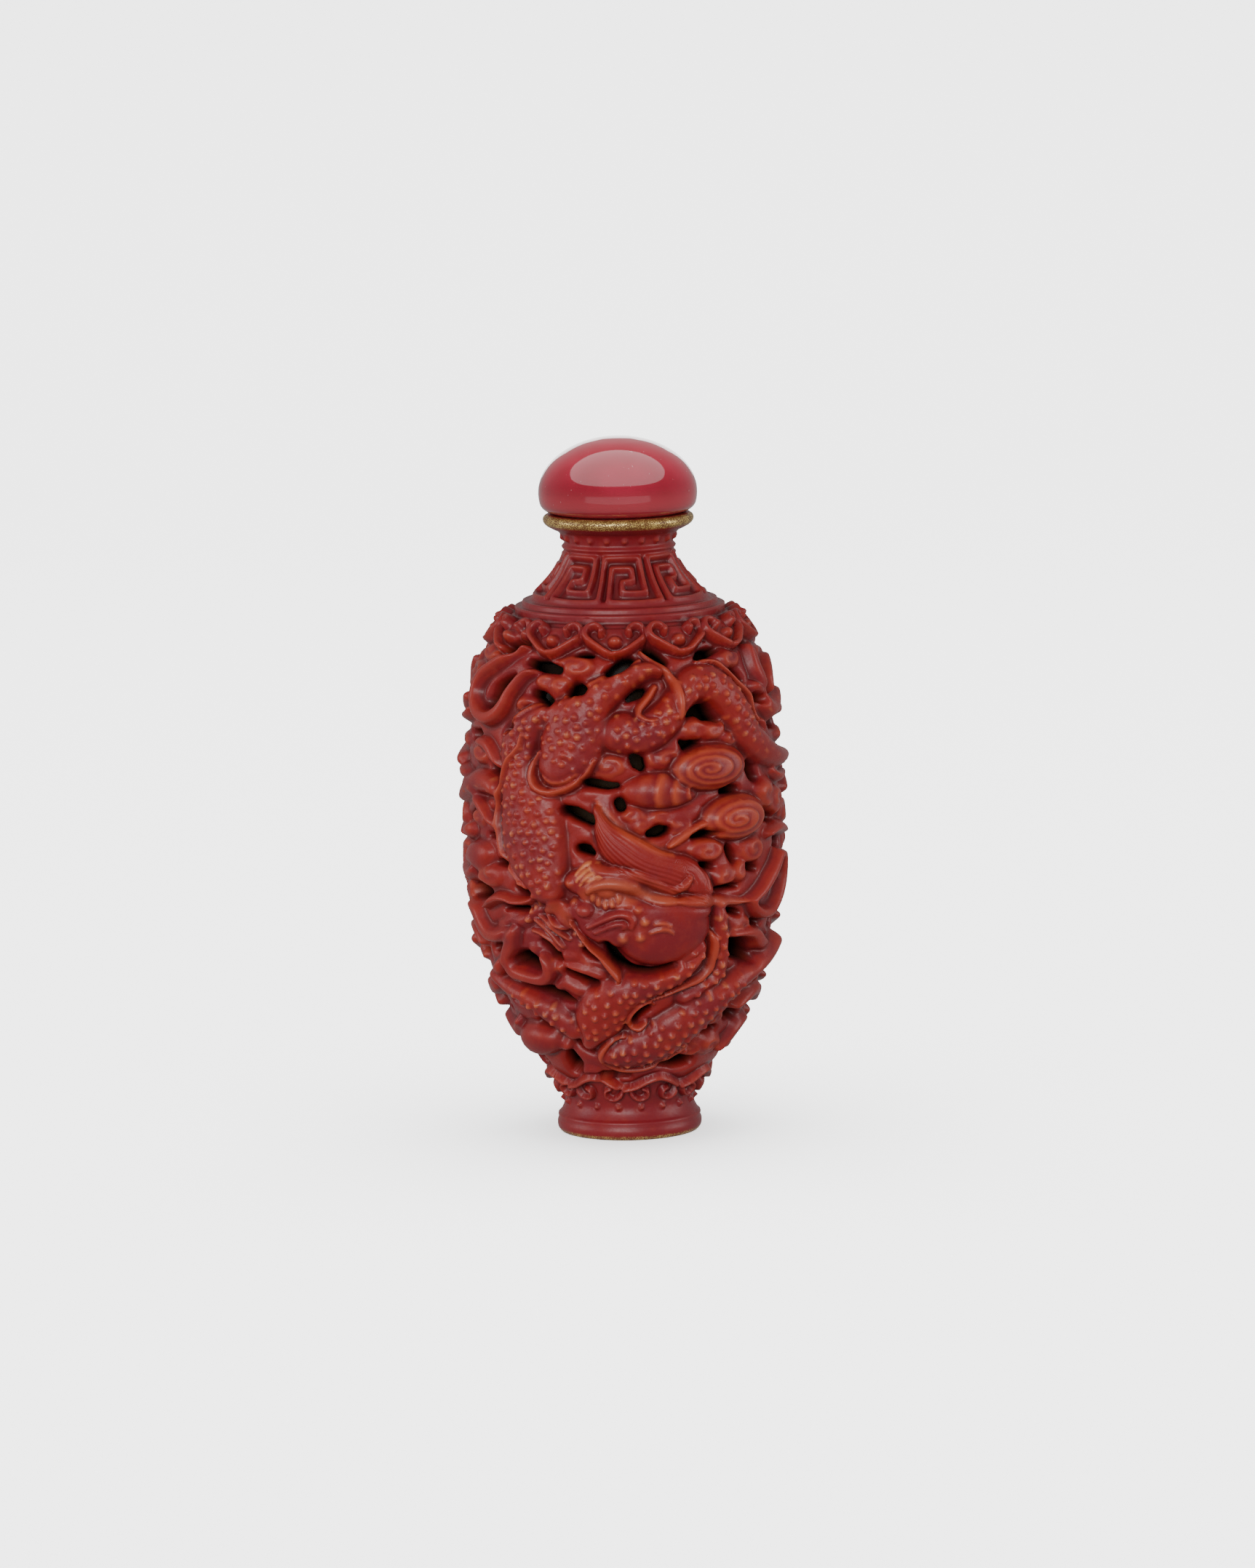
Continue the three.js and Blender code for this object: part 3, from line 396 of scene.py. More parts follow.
# ---- the dragon's head
head = {
    "fan": (17.5, 30.6, 16.8),                   # the point the hair fans out from, and the wall's radius there
    "mane": [(-10, 40, 0.3), (-8.6, 38.6, 0.75), (-6.4, 37.1, 1.3), (-3.4, 35.8, 1.9), (0.6, 34.8, 2.2),
        (5.6, 33.8, 2.2), (10.8, 32.9, 2.2), (16, 32.3, 2.3), (21, 31.8, 2.4), (25.4, 31, 2.1), (28.9, 30.1, 1.4)],
    "maneEdge": [(-9.6, 40.6, 0.25), (-6.7, 39.4, 0.45), (-3.2, 38.2, 0.5), (0.7, 37.1, 0.53), (4.8, 36.3, 0.53),
        (8.8, 35.6, 0.53), (13, 34.9, 0.45), (17.5, 34.5, 0.3)],
    "strands": [[(-9.2, 33.7, 0.3), (-12.4, 33.7, 0.32), (-15, 33.3, 0.3), (-17.2, 32.5, 0.2)], [(-9.3, 33.2, 0.3),
        (-12.4, 33.1, 0.3), (-14.8, 32.6, 0.28), (-16.8, 31.8, 0.18)], [(-9, 32.8, 0.3), (-11.7, 32.6, 0.3),
        (-13.8, 32.1, 0.26), (-15.6, 31.3, 0.16)], [(-8.6, 32.4, 0.28), (-10.7, 32.2, 0.26), (-12.6, 31.8, 0.22),
        (-14, 31.2, 0.14)]],
    "upperBrow": [(-11, 33.4, 0.5), (-6.7, 32.9, 0.72), (-2.1, 32.6, 0.76), (3, 32.3, 0.76), (7.1, 31.8, 0.76),
        (10.7, 31.1, 0.74), (13.8, 30.5, 0.72), (17.1, 30.4, 0.62), (20.1, 30.8, 0.5), (22, 31.5, 0.34),
        (23, 32.1, 0.16)],
    "lowerBrow": [(-12.9, 30.6, 0.3), (-11, 31.2, 0.56), (-6.8, 31.6, 0.7), (-2.2, 31.5, 0.76), (2.4, 31, 0.76),
        (6.5, 30.3, 0.72), (10.6, 29.8, 0.66), (14.9, 29.5, 0.56), (19.2, 29.4, 0.36)],
    "curls": [(-11.4, 30, 0.42), (-9.4, 29.5, 0.42), (-7, 29.25, 0.42), (-4.6, 29.4, 0.42), (-2.4, 29.9, 0.42)],
    "ear": [(19, 29.4, 0.4), (23, 29.3, 0.6), (30.2, 29, 0.66), (36.6, 28.7, 0.63), (42.2, 28.4, 0.54),
        (46.7, 28.2, 0.38), (49.8, 28.2, 0.18)],
    "upperLid": [(-13.5, 26.7, 0.3), (-8.3, 27.5, 0.4), (-3, 28.2, 0.44), (0.6, 28.1, 0.44), (2.3, 27.5, 0.4),
        (1.7, 26.7, 0.3)],
    "lowerLid": [(-10.9, 26.1, 0.3), (-6.3, 26.8, 0.38), (-2.5, 27.2, 0.38), (-0.3, 27, 0.3), (-1, 26.6, 0.2)],
    "spikes": [[(8.5, 26.1, 0.2), (11.8, 26.5, 0.34), (14.2, 26.5, 0.34), (16.6, 25.9, 0.12)], [(9.6, 27, 0.17),
        (12.8, 27.2, 0.28), (15.6, 26.8, 0.16)]],
    "jaw": [(-20.3, 27.1, 0.2), (-17.5, 25.9, 0.24), (-15.5, 25, 0.26), (-12.5, 23.9, 0.34), (-9, 22.9, 0.42),
        (-6.5, 22, 0.5), (-4.5, 21.2, 0.5), (-3.2, 20.4, 0.23)],
    "snout": [[(-30.5, 28, 0.45), (-27, 28.5, 0.9), (-24, 28.3, 1.15), (-22, 27.4, 1), (-20.5, 26.4, 0.5)],
        [(-30.5, 27.6, 0.2), (-28, 26.9, 0.32), (-25, 26.4, 0.31), (-22.3, 26.1, 0.17)], [(-34, 27.4, 0.22),
        (-30.5, 26.7, 0.36), (-27.5, 26, 0.35), (-25, 25.4, 0.35), (-22, 24.8, 0.2)], [(-36, 26.9, 0.26),
        (-32.5, 26.2, 0.38), (-29.5, 25.4, 0.38), (-27.5, 24.6, 0.38), (-25, 23.9, 0.22)], [(-38, 25.6, 0.22),
        (-34, 25.4, 0.34), (-31, 24.7, 0.36), (-28.6, 23.9, 0.34), (-27, 23.4, 0.18)]],
    # beads: angle, height, radius, how orange
    "beads": [(6.5, 27.3, 0.58, 0.6), (-1.1, 25.4, 0.72, 0.35), (4.8, 25.6, 0.62, 0.45), (-19.5, 25.6, 0.5, 0.4),
        (-17.5, 24.2, 0.42, 0.4), (-33.5, 28.8, 0.48, 0.6), (-37.5, 27.9, 0.4, 0.8), (-39, 26.8, 0.46, 0.6),
        (-35.6, 28.4, 0.36, 0.6), (-20, 31.5, 0.6, 0.2), (-41, 30.9, 0.46, 0.3), (-18.5, 29.6, 0.5, 0.3),
        (4.3, 28.7, 0.55, 0.3), (14.5, 47.9, 0.3, 0.4), (16.5, 51, 0.32, 0.5), (13.5, 50.4, 0.32, 0.5)],
    # masses: cheek, socket, chin, temple: the oval, its top, power and groove
    "masses": [(14.4, 25.9, 5.6, 4.3, 5, 2.05, 2.3, 0.45), (1, 27.6, 4.2, 2.5, -8, 1.85, 3, 0),
        (-5.5, 26.4, 4.2, 2.2, -14, 1.7, 3, 0.1), (18, 28, 4.6, 1.8, 0, 1.9, 3, 0),
        (-15, 28.4, 2.2, 1.6, 0, 1.6, 2.6, 0.1), (-8, 31.5, 4.6, 1.9, 0, 1.65, 2.6, 0.2)],
    "bar": [(16.5, 35.4, 0.3), (19.4, 35.9, 0.5), (24.4, 36.8, 0.52), (29.5, 37.5, 0.46)],
}


def layHead():
    mane = Sweep(head["mane"])
    flow = 0.07 * np.cos(mane.side * 9 + mane.along * 0.25) * np.clip((mane.along - 4) / 5, 0, 1)
    flow *= np.clip(0.6 - mane.side, 0, 1)       # fine hair on the lower side
    angle, height, radius = head["fan"]
    x, y = np.radians(mane.gridAngle - angle) * radius, mane.gridLength - lengthAt(height)
    arcs = 0.12 * np.cos(2 * pi * np.hypot(x, y) / 0.56) * np.clip((x - 1.2) / 0.8, 0, 1) * np.clip(y + 0.4, 0, 1)
    layForm(mane, 1.75, 2.2, extra=(flow + arcs) * (mane.ratio < 0.97) - 0.2 * np.clip(0.3 - mane.side, 0, 1)
            * np.clip((mane.along - 3) / 4, 0, 1))
    addLine(head["maneEdge"], 0.4, 0.45)
    combed = mane.ratio < 1
    fan = np.clip((x - 0.6) / 0.4, 0, 1) * np.clip(y + 0.9, 0, 1)
    locks = np.where(fan > 0.5, np.hypot(x, y) / 0.42, mane.side * 4.5 + 0.25 * np.sin(mane.along))
    strand[mane.index] = np.where(combed, locks, strand[mane.index])
    depth = (combed * np.abs(2 * fan - 1) * np.clip((0.95 - mane.ratio) / 0.2, 0, 1)
             * (0.35 + 0.65 * np.clip(0.5 - mane.side, 0, 1)))
    hairy[mane.index] = np.maximum(hairy[mane.index], depth)
    for angle, height, a, b, tilt, top, power, groove in head["masses"]:
        layForm(overOval(angle, height, a, b, tilt)[0], top, power, groove=groove)
    broad[:] = soften(lift, 3)
    for path in head["snout"]:
        layOver(Sweep(path), 0.5, power=2, groove=0.3, grooveWidth=0.24, orange=0.25)
    layForm(Sweep(head["jaw"]), 1.9, 2, base=0.6, groove=0.3, orange=0.3)
    for name, rise in (("upperLid", 0.42), ("lowerLid", 0.34)):
        layOver(Sweep(head[name]), rise, power=2, groove=0.22, grooveWidth=0.24)
    for path in head["spikes"]:
        layOver(Sweep(path), 0.32, power=2, groove=0.1, grooveWidth=0.2, orange=0.45)
    layOver(overOval(-14.5, 28.6, 0.95, 0.85)[0], 0.45, power=2, groove=0.3, grooveWidth=0.24)
    for angle, height, radius, orange in head["beads"]:
        addBump(angle, height, radius, 0.36, orange, 0.3 * orange)
    for path in head["strands"]:
        layOver(Sweep(path), 0.34, power=2, groove=0.2, grooveWidth=0.16, orange=0.55, cream=0.35)
    layOver(overOval(-5.5, 30.2, 3.6, 1.4, -4)[0], 0.15, power=3, groove=0.1, orange=0.4)
    for angle, height, radius in head["curls"]:
        layOver(overOval(angle, height, radius * 0.9, radius * 1.5)[0], 0.4, power=2, groove=0.25, grooveWidth=0.16,
                orange=0.5, cream=0.12)
    for name, orange, cream in (("upperBrow", 0.12, 0), ("lowerBrow", 0.32, 0.04), ("ear", 0.26, 0), ("bar", 0.4, 0)):
        stroke = Sweep(head[name])
        layOver(stroke, 0.5, power=2.6, groove=0.22, orange=orange, cream=cream, extra=0.06 * np.cos(stroke.side * 5))


# ---- borders: a collar of ruyi heads, frets on the neck, scrolled arches over the foot, rings and beads
collar = {"count": 12, "phase": -2.5, "tip": 56.3, "plate": 0.35, "rim": 1.0, "boss": 0.9}
rim = [(0, 0.42, 0.4), (0.9, 0.66, 0.4), (1.7, 1.2, 0.4), (2.5, 1.78, 0.41), (3.15, 2.3, 0.42), (3.42, 2.95, 0.42),
       (3.15, 3.6, 0.42), (2.5, 3.9, 0.41), (1.85, 3.7, 0.38), (1.5, 3.25, 0.36), (1.62, 2.85, 0.34)]
frets = {
    "count": 8, "phase": 7.5, "low": 62.15, "high": 66.75, "half": 0.36, "top": 0.28, "sunk": 0.5,
    "line": [(1, 1), (1, 0.5), (1, 0.03), (0.6, 0), (0.16, 0.03), (0.16, 0.42), (0.17, 0.8), (0.35, 0.8),
        (0.6, 0.79), (0.6, 0.53), (0.38, 0.51), (0.38, 0.26), (0.58, 0.25), (0.79, 0.25), (0.8, 0.6), (0.8, 1),
        (0.4, 1.01), (0.04, 1)],
}
arches = {
    "count": 8, "phase": 20.5, "top": 1,
    "ridge": [(-24, 6.3, 0.36), (-16, 6.6, 0.38), (-7, 7.4, 0.42), (0, 7.75, 0.45), (7, 7.4, 0.42), (16, 6.6, 0.38),
        (22, 6.3, 0.36)],
    "scroll": [(20, 6.2, 0.28), (17.5, 5.3, 0.3), (12, 4.85, 0.3), (6.5, 5.2, 0.28), (6.3, 5.95, 0.26),
        (10.5, 6.15, 0.2)],
}
rings = {                                        # height, half width, rise; then height, count, phase, radius, rise
    "lines": [(61.25, 0.24, 0.5), (60.6, 0.24, 0.55), (61.7, 0.16, -0.25), (60.95, 0.13, -0.3), (60.1, 0.22, -0.4),
        (67.55, 0.3, 0.5), (67.1, 0.15, -0.25), (68.05, 0.16, -0.2), (1.5, 0.15, -0.2), (1.95, 0.2, 0.16)],
    "beads": [(68.65, 20, 6, 0.46, 0.42), (3.75, 18, -9.4, 0.46, 0.55)],
}


def repeated(count, phase):                      # a border's places within one share
    step = 360 / count
    return [phase + step * k for k in range(-count, count) if -90 <= phase + step * k < 90]


def layCollar(angle):
    foot, across = lengthAt(collar["tip"]), radiusAt(collar["tip"] + 1.6)

    def at(x, y, half):
        return angle + degrees(x / across), float(heightAt(foot + y)), half

    for path in ([(-0.2, 1.75, 1.65), (0.2, 1.75, 1.65)], [(-2.5, 2.75, 1.3), (0, 2.4, 1.4), (2.5, 2.75, 1.3)]):
        layForm(Sweep([at(*spot) for spot in path], 0.8), collar["plate"], 5, base=0.0, groove=0.4, grooveWidth=0.3)
    flat = collar["plate"]
    for side in (-1, 1):
        band = Sweep([at(side * x, y, half) for x, y, half in rim], 0.6)
        layForm(band, flat + collar["rim"], 3.2, base=flat - 0.5, groove=0.3, grooveWidth=0.26, orange=0.06,
                extra=-0.14 * np.exp(-(band.side / 0.3) ** 2) * (band.ratio < 1))
        addBump(*at(side * 1.62, 3.0, 0.5), 0.3, 0.1, 0)
    layForm(overOval(*at(0, 1.95, 0.85), 0.74)[0], flat + collar["boss"], 2, base=flat - 0.5, groove=0.25,
            grooveWidth=0.22, orange=0.2)


def layFret(angle):
    low, high = lengthAt(frets["low"]), lengthAt(frets["high"])
    path = [(angle + (u - 0.5) * 360 / frets["count"], float(heightAt(low + v * (high - low))), frets["half"])
            for u, v in frets["line"]]
    layForm(Sweep(path, 0.5, smooth=False), frets["top"], 2.4, base=-0.5, groove=0.1, grooveWidth=0.2, orange=0.08)


def shifted(stroke, angle, side=1):
    return [(angle + side * a, height, half) for a, height, half in stroke]


def layArch(angle):
    for side in (-1, 1):
        layForm(Sweep(shifted(arches["scroll"], angle, side), 0.6), 0.75, 2, base=-0.1, groove=0.35,
                grooveWidth=0.22, orange=0.08)
    layForm(Sweep(shifted(arches["ridge"], angle), 0.6), arches["top"], 2, base=-0.1, groove=0.4, grooveWidth=0.3,
            orange=0.1)


# ---- openings through the outer wall: strokes as angle, height, half width
openings = {
    "rolled": 0.5, "wide": 1.28,                 # how far out the lip starts to roll in; a widening
    "strokes": [
        [(-59, 56.8, 0.6), (-53.5, 57.1, 0.85), (-50, 57.4, 0.55)],
        [(-42.5, 55.8, 0.36), (-36.5, 55.6, 0.6), (-31, 55.3, 0.5), (-26.5, 55.1, 0.33)],
        [(-19, 56.8, 0.17), (-15.5, 56.9, 0.33), (-12.5, 56.8, 0.2)],
        [(-5, 54.8, 0.4), (-1.5, 55.4, 0.64), (2, 56, 0.56), (4.5, 56.3, 0.33)],
        [(12.5, 57.2, 0.5), (16, 56.5, 0.58), (19, 55.9, 0.34)],
        [(34.5, 56, 0.23), (38, 56.4, 0.5), (42.5, 56.6, 0.52), (47, 56.7, 0.3)],
        [(-20, 52.6, 0.4), (-18, 53.1, 0.72), (-15, 52.9, 0.48)],
        [(-36.5, 52.5, 0.35), (-32.5, 52.1, 0.55), (-29, 51.5, 0.4)],
        [(-62.5, 50.9, 0.6), (-58.5, 51.7, 1.2), (-54, 52.9, 0.95), (-50, 53.8, 0.45)],
        [(2.5, 52, 0.25), (6.5, 52.6, 0.48), (9, 53, 0.22)],
        [(51, 54.2, 0.25), (54.5, 53.6, 0.42), (57, 52.9, 0.25)],
        [(26, 49.9, 0.22), (29.5, 50.3, 0.5), (33.5, 50.1, 0.82), (36.5, 49.5, 0.46), (39, 49, 0.23)],
        [(-48, 48.1, 0.3), (-46, 48.5, 0.36), (-44, 48.8, 0.29)], [(62, 50.9, 0.33), (66, 50.4, 0.42)],
        [(-80, 46.5, 0.5), (-70, 46.8, 0.6)],
        [(22.5, 47, 0.21), (24.5, 46.5, 0.48), (27, 46.7, 0.36), (30.5, 46.8, 0.15)],
        [(4, 45.5, 0.4), (5.5, 45, 0.68), (7, 44.4, 0.42)], [(-56, 43.6, 0.5), (-52, 43.2, 0.4)],
        [(54.5, 43.4, 0.44), (56.5, 42.6, 0.7), (58.5, 41.9, 0.45)],
        [(-14, 42.7, 0.32), (-11, 42.7, 0.45), (-6.5, 42.4, 0.4), (-2.5, 42.4, 0.28)],
        [(39.5, 40.9, 0.23), (42.5, 41.1, 0.46), (46.5, 41, 0.33)], [(-1.6, 40.4, 0.5), (-1, 40, 0.5)],
        [(-22, 39.6, 0.42), (-17.5, 39.2, 0.62), (-12.5, 38.5, 0.52)], [(-59, 35.8, 0.25), (-56, 35.9, 0.3)],
        [(9.5, 36.9, 0.4), (13, 37.1, 0.58), (15.6, 37.2, 0.4)],
        [(26, 36.2, 0.2), (30.5, 36.4, 0.36), (35, 36.4, 0.2)],
        [(-16.5, 35.3, 0.4), (-14, 35.2, 0.52), (-12, 34.8, 0.32)],
        [(41.7, 34.5, 0.38), (43, 33.8, 0.52), (44, 33.1, 0.36)],
        [(29, 33, 0.2), (31.5, 32.8, 0.36), (33.5, 32.6, 0.22)],
        [(-54, 32.9, 0.3), (-50.5, 32.9, 0.4), (-48.5, 32.9, 0.24)],
        [(51, 32, 0.3), (54.5, 31.8, 0.42), (57, 31.5, 0.3)],
        [(-43.5, 30.4, 0.28), (-41, 30, 0.38), (-37, 29.9, 0.22)],
        [(36, 30, 0.2), (40.5, 30.1, 0.28), (45.5, 30, 0.18)],
        [(-76, 28.8, 0.7), (-67, 29, 0.9), (-62.5, 29.1, 0.7)],
        [(-51, 27.8, 0.2), (-45.5, 27.9, 0.22), (-40, 28.1, 0.18)],
        [(42, 27.3, 0.22), (45.5, 27, 0.34), (48, 26.8, 0.2)],
        [(61.5, 27.9, 0.27), (65, 28.6, 0.5), (70, 29.6, 0.5), (73, 30.2, 0.35)], [(57, 25.3, 0.25), (63, 25, 0.3)],
        [(-34.5, 24.3, 0.2), (-32, 23.9, 0.44), (-29.2, 22.9, 0.44), (-27.5, 22.4, 0.28)],
        [(-16, 23.5, 0.3), (-13.5, 23, 0.36), (-11.5, 22.6, 0.24)],
        [(-7.5, 24.5, 0.33), (-6, 23.6, 0.44), (-3, 22.4, 0.48), (1.5, 21.5, 0.38), (7, 21.15, 0.28), (13, 21.3, 0.22),
         (18, 21.9, 0.16)],
        [(44.5, 23.3, 0.4), (49, 22.7, 1.05), (54.5, 22, 0.95), (59, 21.3, 0.5)],
        [(-66, 22.4, 0.35), (-60, 22.9, 0.4)], [(-49.5, 21.7, 0.4), (-44, 22, 0.84), (-40, 21.5, 0.55)],
        [(-24.5, 20.8, 0.36), (-20, 20.2, 0.46), (-15.5, 19.7, 0.4), (-12.5, 19.6, 0.17)],
        [(-50, 19.1, 0.24), (-42.5, 18.7, 0.4), (-35, 18.2, 0.56), (-29, 17.6, 0.54), (-25, 17.2, 0.26)],
        [(55.5, 17.4, 0.25), (61, 17.9, 0.45), (66, 18.3, 0.28)], [(-62.5, 16.7, 0.32), (-56.5, 16.4, 0.38)],
        [(3, 15, 0.22), (5.5, 15.9, 0.38), (9, 16.5, 0.3)], [(55.5, 14.6, 0.32), (61, 14.1, 0.68), (68, 13.9, 0.5)],
        [(-46.5, 14.4, 0.24), (-41.5, 14.1, 0.34)], [(38.5, 13, 0.36), (44.5, 12.9, 0.54), (50.5, 13, 0.3)],
        [(-28, 12.1, 0.35), (-24, 11.5, 0.4), (-20.5, 10.9, 0.17)],
        [(-36.5, 10.2, 0.7), (-36.5, 9.4, 0.9), (-38, 8.4, 0.7)],
        [(21, 9.3, 0.45), (30.5, 9.2, 0.85), (41, 9.2, 0.6)],
        [(-17, 7.9, 0.4), (-9.5, 7.9, 0.55), (-1.5, 7.9, 0.4)], [(76, 47.4, 0.6), (84, 47.2, 0.6)],
        [(74, 33.8, 0.5), (82, 33.4, 0.5)], [(76, 24.6, 0.7), (85, 24.4, 0.6)], [(76, 19, 0.5), (84, 19.4, 0.5)],
        [(-85, 36.4, 0.6), (-75, 37.6, 0.6)], [(-84, 22, 0.6), (-76, 21.4, 0.6)],
        [(-83, 15.4, 0.5), (-74, 15.4, 0.6)], [(74, 9.8, 0.6), (82, 9.9, 0.6)], [(62, 37.4, 0.5), (69, 36.9, 0.4)],
        [(-74, 8.9, 0.6), (-66, 8.9, 0.6)], [(70, 56.4, 0.3), (77, 56.4, 0.5)],
    ],
}


def soften(field, cells):                        # a small blur that wraps round
    reach = np.arange(-int(3 * cells), int(3 * cells) + 1)
    weight = np.exp(-(reach / cells) ** 2 / 2)
    weight /= weight.sum()
    wide = sum(w * np.roll(field, k, 1) for k, w in zip(reach, weight))
    pad = len(reach) // 2
    tall = np.pad(wide, ((pad, pad), (0, 0)), "edge")
    return sum(w * tall[pad + k:len(tall) - pad + k] for k, w in zip(reach, weight))


def carve():
    for row in fillers["scrolls"]:
        layScroll(*row)
    for top, path in ribbons[:3]:
        layForm(Sweep(path), top)
    for angle, height, a, b, tilt, top in leaves[1:]:
        layForm(overOval(angle, height, a, b, tilt)[0], 0.7 + 0.6 * top, 2.6)
    for top, path in ribbons[3:-2]:
        stroke = Sweep(path)
        hollow = -0.2 * np.exp(-(stroke.side / 0.45) ** 2) * (stroke.half.max() > 0.8)    # wide ribbons are dished
        layForm(stroke, 0.75 + 0.62 * top, 2.4, extra=hollow)
    angle, height, a, b, tilt, top = leaves[0]
    layForm(overOval(angle, height, a, b, tilt)[0], top, 2.4)
    for top, path in bodies["coils"]:
        layForm(Sweep(path), top + bodies["raise"], bodies["power"], base=bodies["base"])
    lift[:] = soften(lift, 1.2)
    for top, path in bodies["coils"]:
        setBosses(path)
    broad[:] = soften(lift, 4)
    for top, path in ribbons[-2:]:
        layOver(Sweep(path), 0.5, power=2, groove=0.35, grooveWidth=0.26, orange=0.35)
    broad[:] = soften(lift, 4)
    for rise, path in bodies["rims"]:
        layOver(Sweep(path), rise, power=2, groove=0.35, grooveWidth=0.26, orange=0.3)
    for angle, height, a, b, tilt, top, turns, hand in clouds:
        sweep, x = layScroll(angle, height, a, b, turns, hand, top, 0.3, 0.5)
        if not turns:
            sweep.middle = lengthAt(height)
            layLongCloud(sweep, x)
    layHead()
    for angle in repeated(collar["count"], collar["phase"]):
        layCollar(angle)
    for angle in repeated(arches["count"], arches["phase"]):
        layArch(angle)
    band = np.clip((rowHeight - frets["low"]) / 0.4, 0, 1) * np.clip((frets["high"] + 0.2 - rowHeight) / 0.4, 0, 1)
    lift[:] -= frets["sunk"] * band[:, None]
    for angle in repeated(frets["count"], frets["phase"]):
        layFret(angle)
    for height, half, rise in rings["lines"]:
        lift[:] += (rise * np.exp(-((rowLength - lengthAt(height)) / half) ** 2 * 1.6))[:, None]
    for height, count, phase, radius, rise in rings["beads"]:
        for angle in repeated(count, phase):
            addBump(angle, height, radius, rise, 0.15, 0)
    for path in openings["strokes"]:
        sweep = Sweep([(a, h, half * openings["wide"]) for a, h, half in path], 1.2)
        into = np.clip((openings["rolled"] - sweep.edge) / 1.0, 0, 1)
        into = into * into * (3 - 2 * into)
        lift[sweep.index] -= into * (0.2 + 0.42 * np.clip(lift[sweep.index] + wall["ground"] + 0.4, 0, 3))
        opening[sweep.index] = np.minimum(opening[sweep.index], sweep.edge)


carve()
smooth = np.clip((rowHeight - 60) / 1.5, 0, 1)[:, None]      # the neck's carving is the softest
lift = soften(lift, 0.8) * (1 - smooth) + soften(lift, 1.2) * smooth
print("carving worked out, from", round(float(lift.min()), 2), "to", round(float(lift.max()), 2), "mm off the wall")


# ---- the meshes
def finished(bm, name):
    bmesh.ops.recalc_face_normals(bm, faces=bm.faces)
    mesh = bpy.data.meshes.new(name)
    bm.to_mesh(mesh)
    bm.free()
    piece = bpy.data.objects.new(name, mesh)
    bpy.context.scene.collection.objects.link(piece)
    return piece


def points(piece):
    flat = np.empty(len(piece.data.vertices) * 3)
    piece.data.vertices.foreach_get("co", flat)
    return flat.reshape(-1, 3)


def place(piece, where):
    piece.data.vertices.foreach_set("co", np.ascontiguousarray(where, dtype=float).ravel())
    piece.data.update()


def turned(outline, steps, name, loop=False):    # an outline of radius and height, wrapped about Z
    outline = np.array(outline + outline[:1] if loop else outline, float)
    bm = bmesh.new()
    bmesh.ops.create_grid(bm, x_segments=steps, y_segments=len(outline) - 1, size=1)
    piece = finished(bm, name)
    x, y, _ = points(piece).T
    radius, height = outline[np.rint((y + 1) / 2 * (len(outline) - 1)).astype(int)].T
    place(piece, np.stack([radius * np.cos(pi * x), radius * np.sin(pi * x), height], -1))
    bm = bmesh.new()
    bm.from_mesh(piece.data)
    bmesh.ops.remove_doubles(bm, verts=bm.verts, dist=1e-4)      # the seam and the poles close
    bmesh.ops.recalc_face_normals(bm, faces=bm.faces)
    bm.to_mesh(piece.data)
    bm.free()
    return piece


def sampled(field, angle, height):               # the field between its own rows and columns
    column = ((angle + wall["share"] / 2) % wall["share"]) / columnStep
    row = np.clip(lengthAt(height) / wall["rowStep"], 0, len(rowLength) - 1.001)
    c, r = column.astype(int), row.astype(int)
    u, v = column - c, row - r
    left, right = c % wall["columns"], (c + 1) % wall["columns"]
    low = field[r, left] * (1 - u) + field[r, right] * u
    high = field[r + 1, left] * (1 - u) + field[r + 1, right] * u
    return low * (1 - v) + high * v


def offWall(where):                              # the angle, height and distance off the wall of points
    radius, angle = np.hypot(where[:, 0], where[:, 1]), np.degrees(np.arctan2(where[:, 1], where[:, 0])) + 90
    height = where[:, 2].copy()
    for _ in range(8):
        slope = wallSlope(height)
        out = (radius - radiusAt(height)) * np.sqrt(1 + slope ** 2)
        height += (where[:, 2] + (radius - radiusAt(height)) * slope - height) / (1 + slope ** 2)
        height = np.clip(height, 0, profileLine[-1, 0])
    return angle, height, out


def cutFrom(piece, cutter):                      # takes the cutter's space out of the piece
    cut = piece.modifiers.new("cut", "BOOLEAN")
    cut.operation, cut.solver, cut.object = "DIFFERENCE", "MANIFOLD", cutter
    applyAll(piece)
    bpy.data.objects.remove(cutter)


def applyAll(piece):
    bpy.context.view_layer.update()
    shaped = bpy.data.meshes.new_from_object(piece.evaluated_get(bpy.context.evaluated_depsgraph_get()))
    piece.modifiers.clear()
    old, piece.data = piece.data, shaped
    bpy.data.meshes.remove(old)
    shaped.materials.clear()


